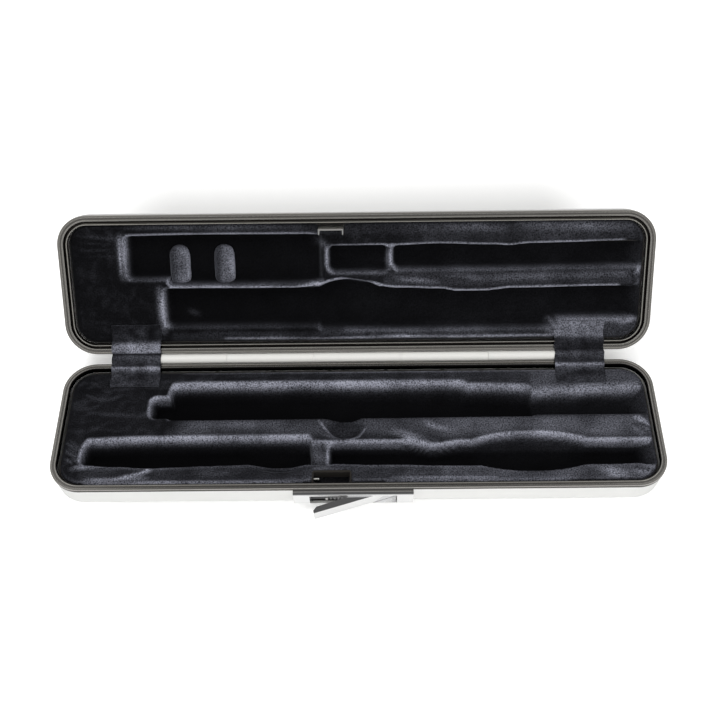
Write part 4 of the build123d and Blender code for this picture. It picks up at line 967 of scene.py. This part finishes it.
chosen = add(paper, "MixShader", {0: seen, 1: none.outputs[0], 2: glow.outputs[0]})
total = add(paper, "AddShader", {0: paper_surface.outputs[0], 1: chosen.outputs[0]})
paper.node_tree.links.new(total.outputs[0], paper.node_tree.nodes["Material Output"].inputs["Surface"])
floor_mesh.materials.append(paper)
print("floor glows in full from", round(GLOW_REACH / MM), "mm past its shaded part")

# %% World
AMBIENT = 0.38            # world light on the case
ROOM = 0.9                # the sweep as metal sees it
DIM = (                   # its dim parts: direction, where the dimming starts and is full, depth
    ((0, 0.5, 0.866), 0.90, 0.985, 0.80),
    ((0, -0.915, 0.403), 0.84, 0.97, 0.62),
)

world = bpy.data.worlds.new("studio")
world.use_nodes = True
bpy.context.scene.world = world
sky = world.node_tree.nodes["Background"]
sky.inputs["Color"].default_value = (1, 1, 1, 1)
paths = add(world, "LightPath").outputs
ray = add(world, "TexCoord").outputs["Generated"]
mirrored = ROOM
for towards, start, end, depth in DIM:
    near = add(world, "VectorMath", {0: ray, 1: towards}, operation="DOT_PRODUCT").outputs["Value"]
    steps = {"Value": near, 1: start, 2: end, 3: 0.0, 4: depth}
    dim = add(world, "MapRange", steps, interpolation_type="SMOOTHSTEP").outputs[0]
    mirrored = add(world, "Math", {0: mirrored, 1: dim}, operation="SUBTRACT").outputs[0]
straight = {0: paths["Is Camera Ray"], 1: paths["Is Transmission Ray"]}
direct = add(world, "Math", straight, operation="MAXIMUM")
glossy = add(world, "MapRange", {"Value": paths["Is Glossy Ray"], 3: AMBIENT, 4: mirrored}).outputs[0]
level = add(world, "MapRange", {"Value": direct.outputs[0], 3: glossy, 4: 1.0})
world.node_tree.links.new(level.outputs[0], sky.inputs["Strength"])
print("world: light", AMBIENT, "room seen by metal", ROOM, "dim parts", len(DIM))

# %% [markdown]
# Two large soft boxes light the case, one in front at the right and one overhead at the left. Their power
# is set so that a colour renders about as it is written. Reflections don't show them, because the world
# above already says what polished metal sees.

# %% Lamps
def softbox(name, at, aim, size, power):
    """A large soft lamp at a place in metres, turned towards a point."""
    lamp = bpy.data.lights.new(name, "AREA")
    lamp.shape, lamp.size, lamp.size_y, lamp.energy = "RECTANGLE", *size, power
    holder = bpy.data.objects.new(name, lamp)
    holder.location = at
    holder.rotation_euler = (Vector(aim) - Vector(at)).to_track_quat("-Z", "Y").to_euler()
    holder.visible_glossy = False
    bpy.context.scene.collection.objects.link(holder)
    print(name, "softbox of", power, "W")


softbox("front", (0.35, -1.25, 1.2), (0, 0.03, 0.03), (0.9, 0.6), 13)
softbox("overhead", (-0.4, 0.05, 1.7), (0, 0.03, 0.03), (0.9, 0.5), 13)

# %% [markdown]
# ## Camera
# The camera stands where the photographer's did. Both rims were matched to the picture to find its place,
# its turn and its lens: it looks down at 57 degrees from in front of the case's middle, almost without
# roll.

# %% Camera
CAMERA_AT = Vector((7.6, -371.5, 672.9)) * MM
YAW, PITCH, ROLL = (math.radians(angle) for angle in (-0.77, 56.6, -1.21))
FOCAL_PIXELS, FRAME_PIXELS = 1020, 720

ahead = Vector((math.sin(YAW) * math.cos(PITCH), math.cos(YAW) * math.cos(PITCH), -math.sin(PITCH)))
level_right = Vector((math.cos(YAW), -math.sin(YAW), 0))
level_up = level_right.cross(ahead)
right = math.cos(ROLL) * level_right + math.sin(ROLL) * level_up
up = -math.sin(ROLL) * level_right + math.cos(ROLL) * level_up
camera_data = bpy.data.cameras.new("camera")
camera_data.sensor_width = 36
camera_data.lens = FOCAL_PIXELS / FRAME_PIXELS * camera_data.sensor_width
camera = bpy.data.objects.new("camera", camera_data)
camera.matrix_world = Matrix.Translation(CAMERA_AT) @ Matrix((right, up, -ahead)).transposed().to_4x4()
bpy.context.scene.collection.objects.link(camera)
bpy.context.scene.camera = camera
bpy.context.scene.view_settings.view_transform = "Standard"
print("lens", round(camera_data.lens, 1), "mm, from", [round(v, 3) for v in CAMERA_AT], "m")
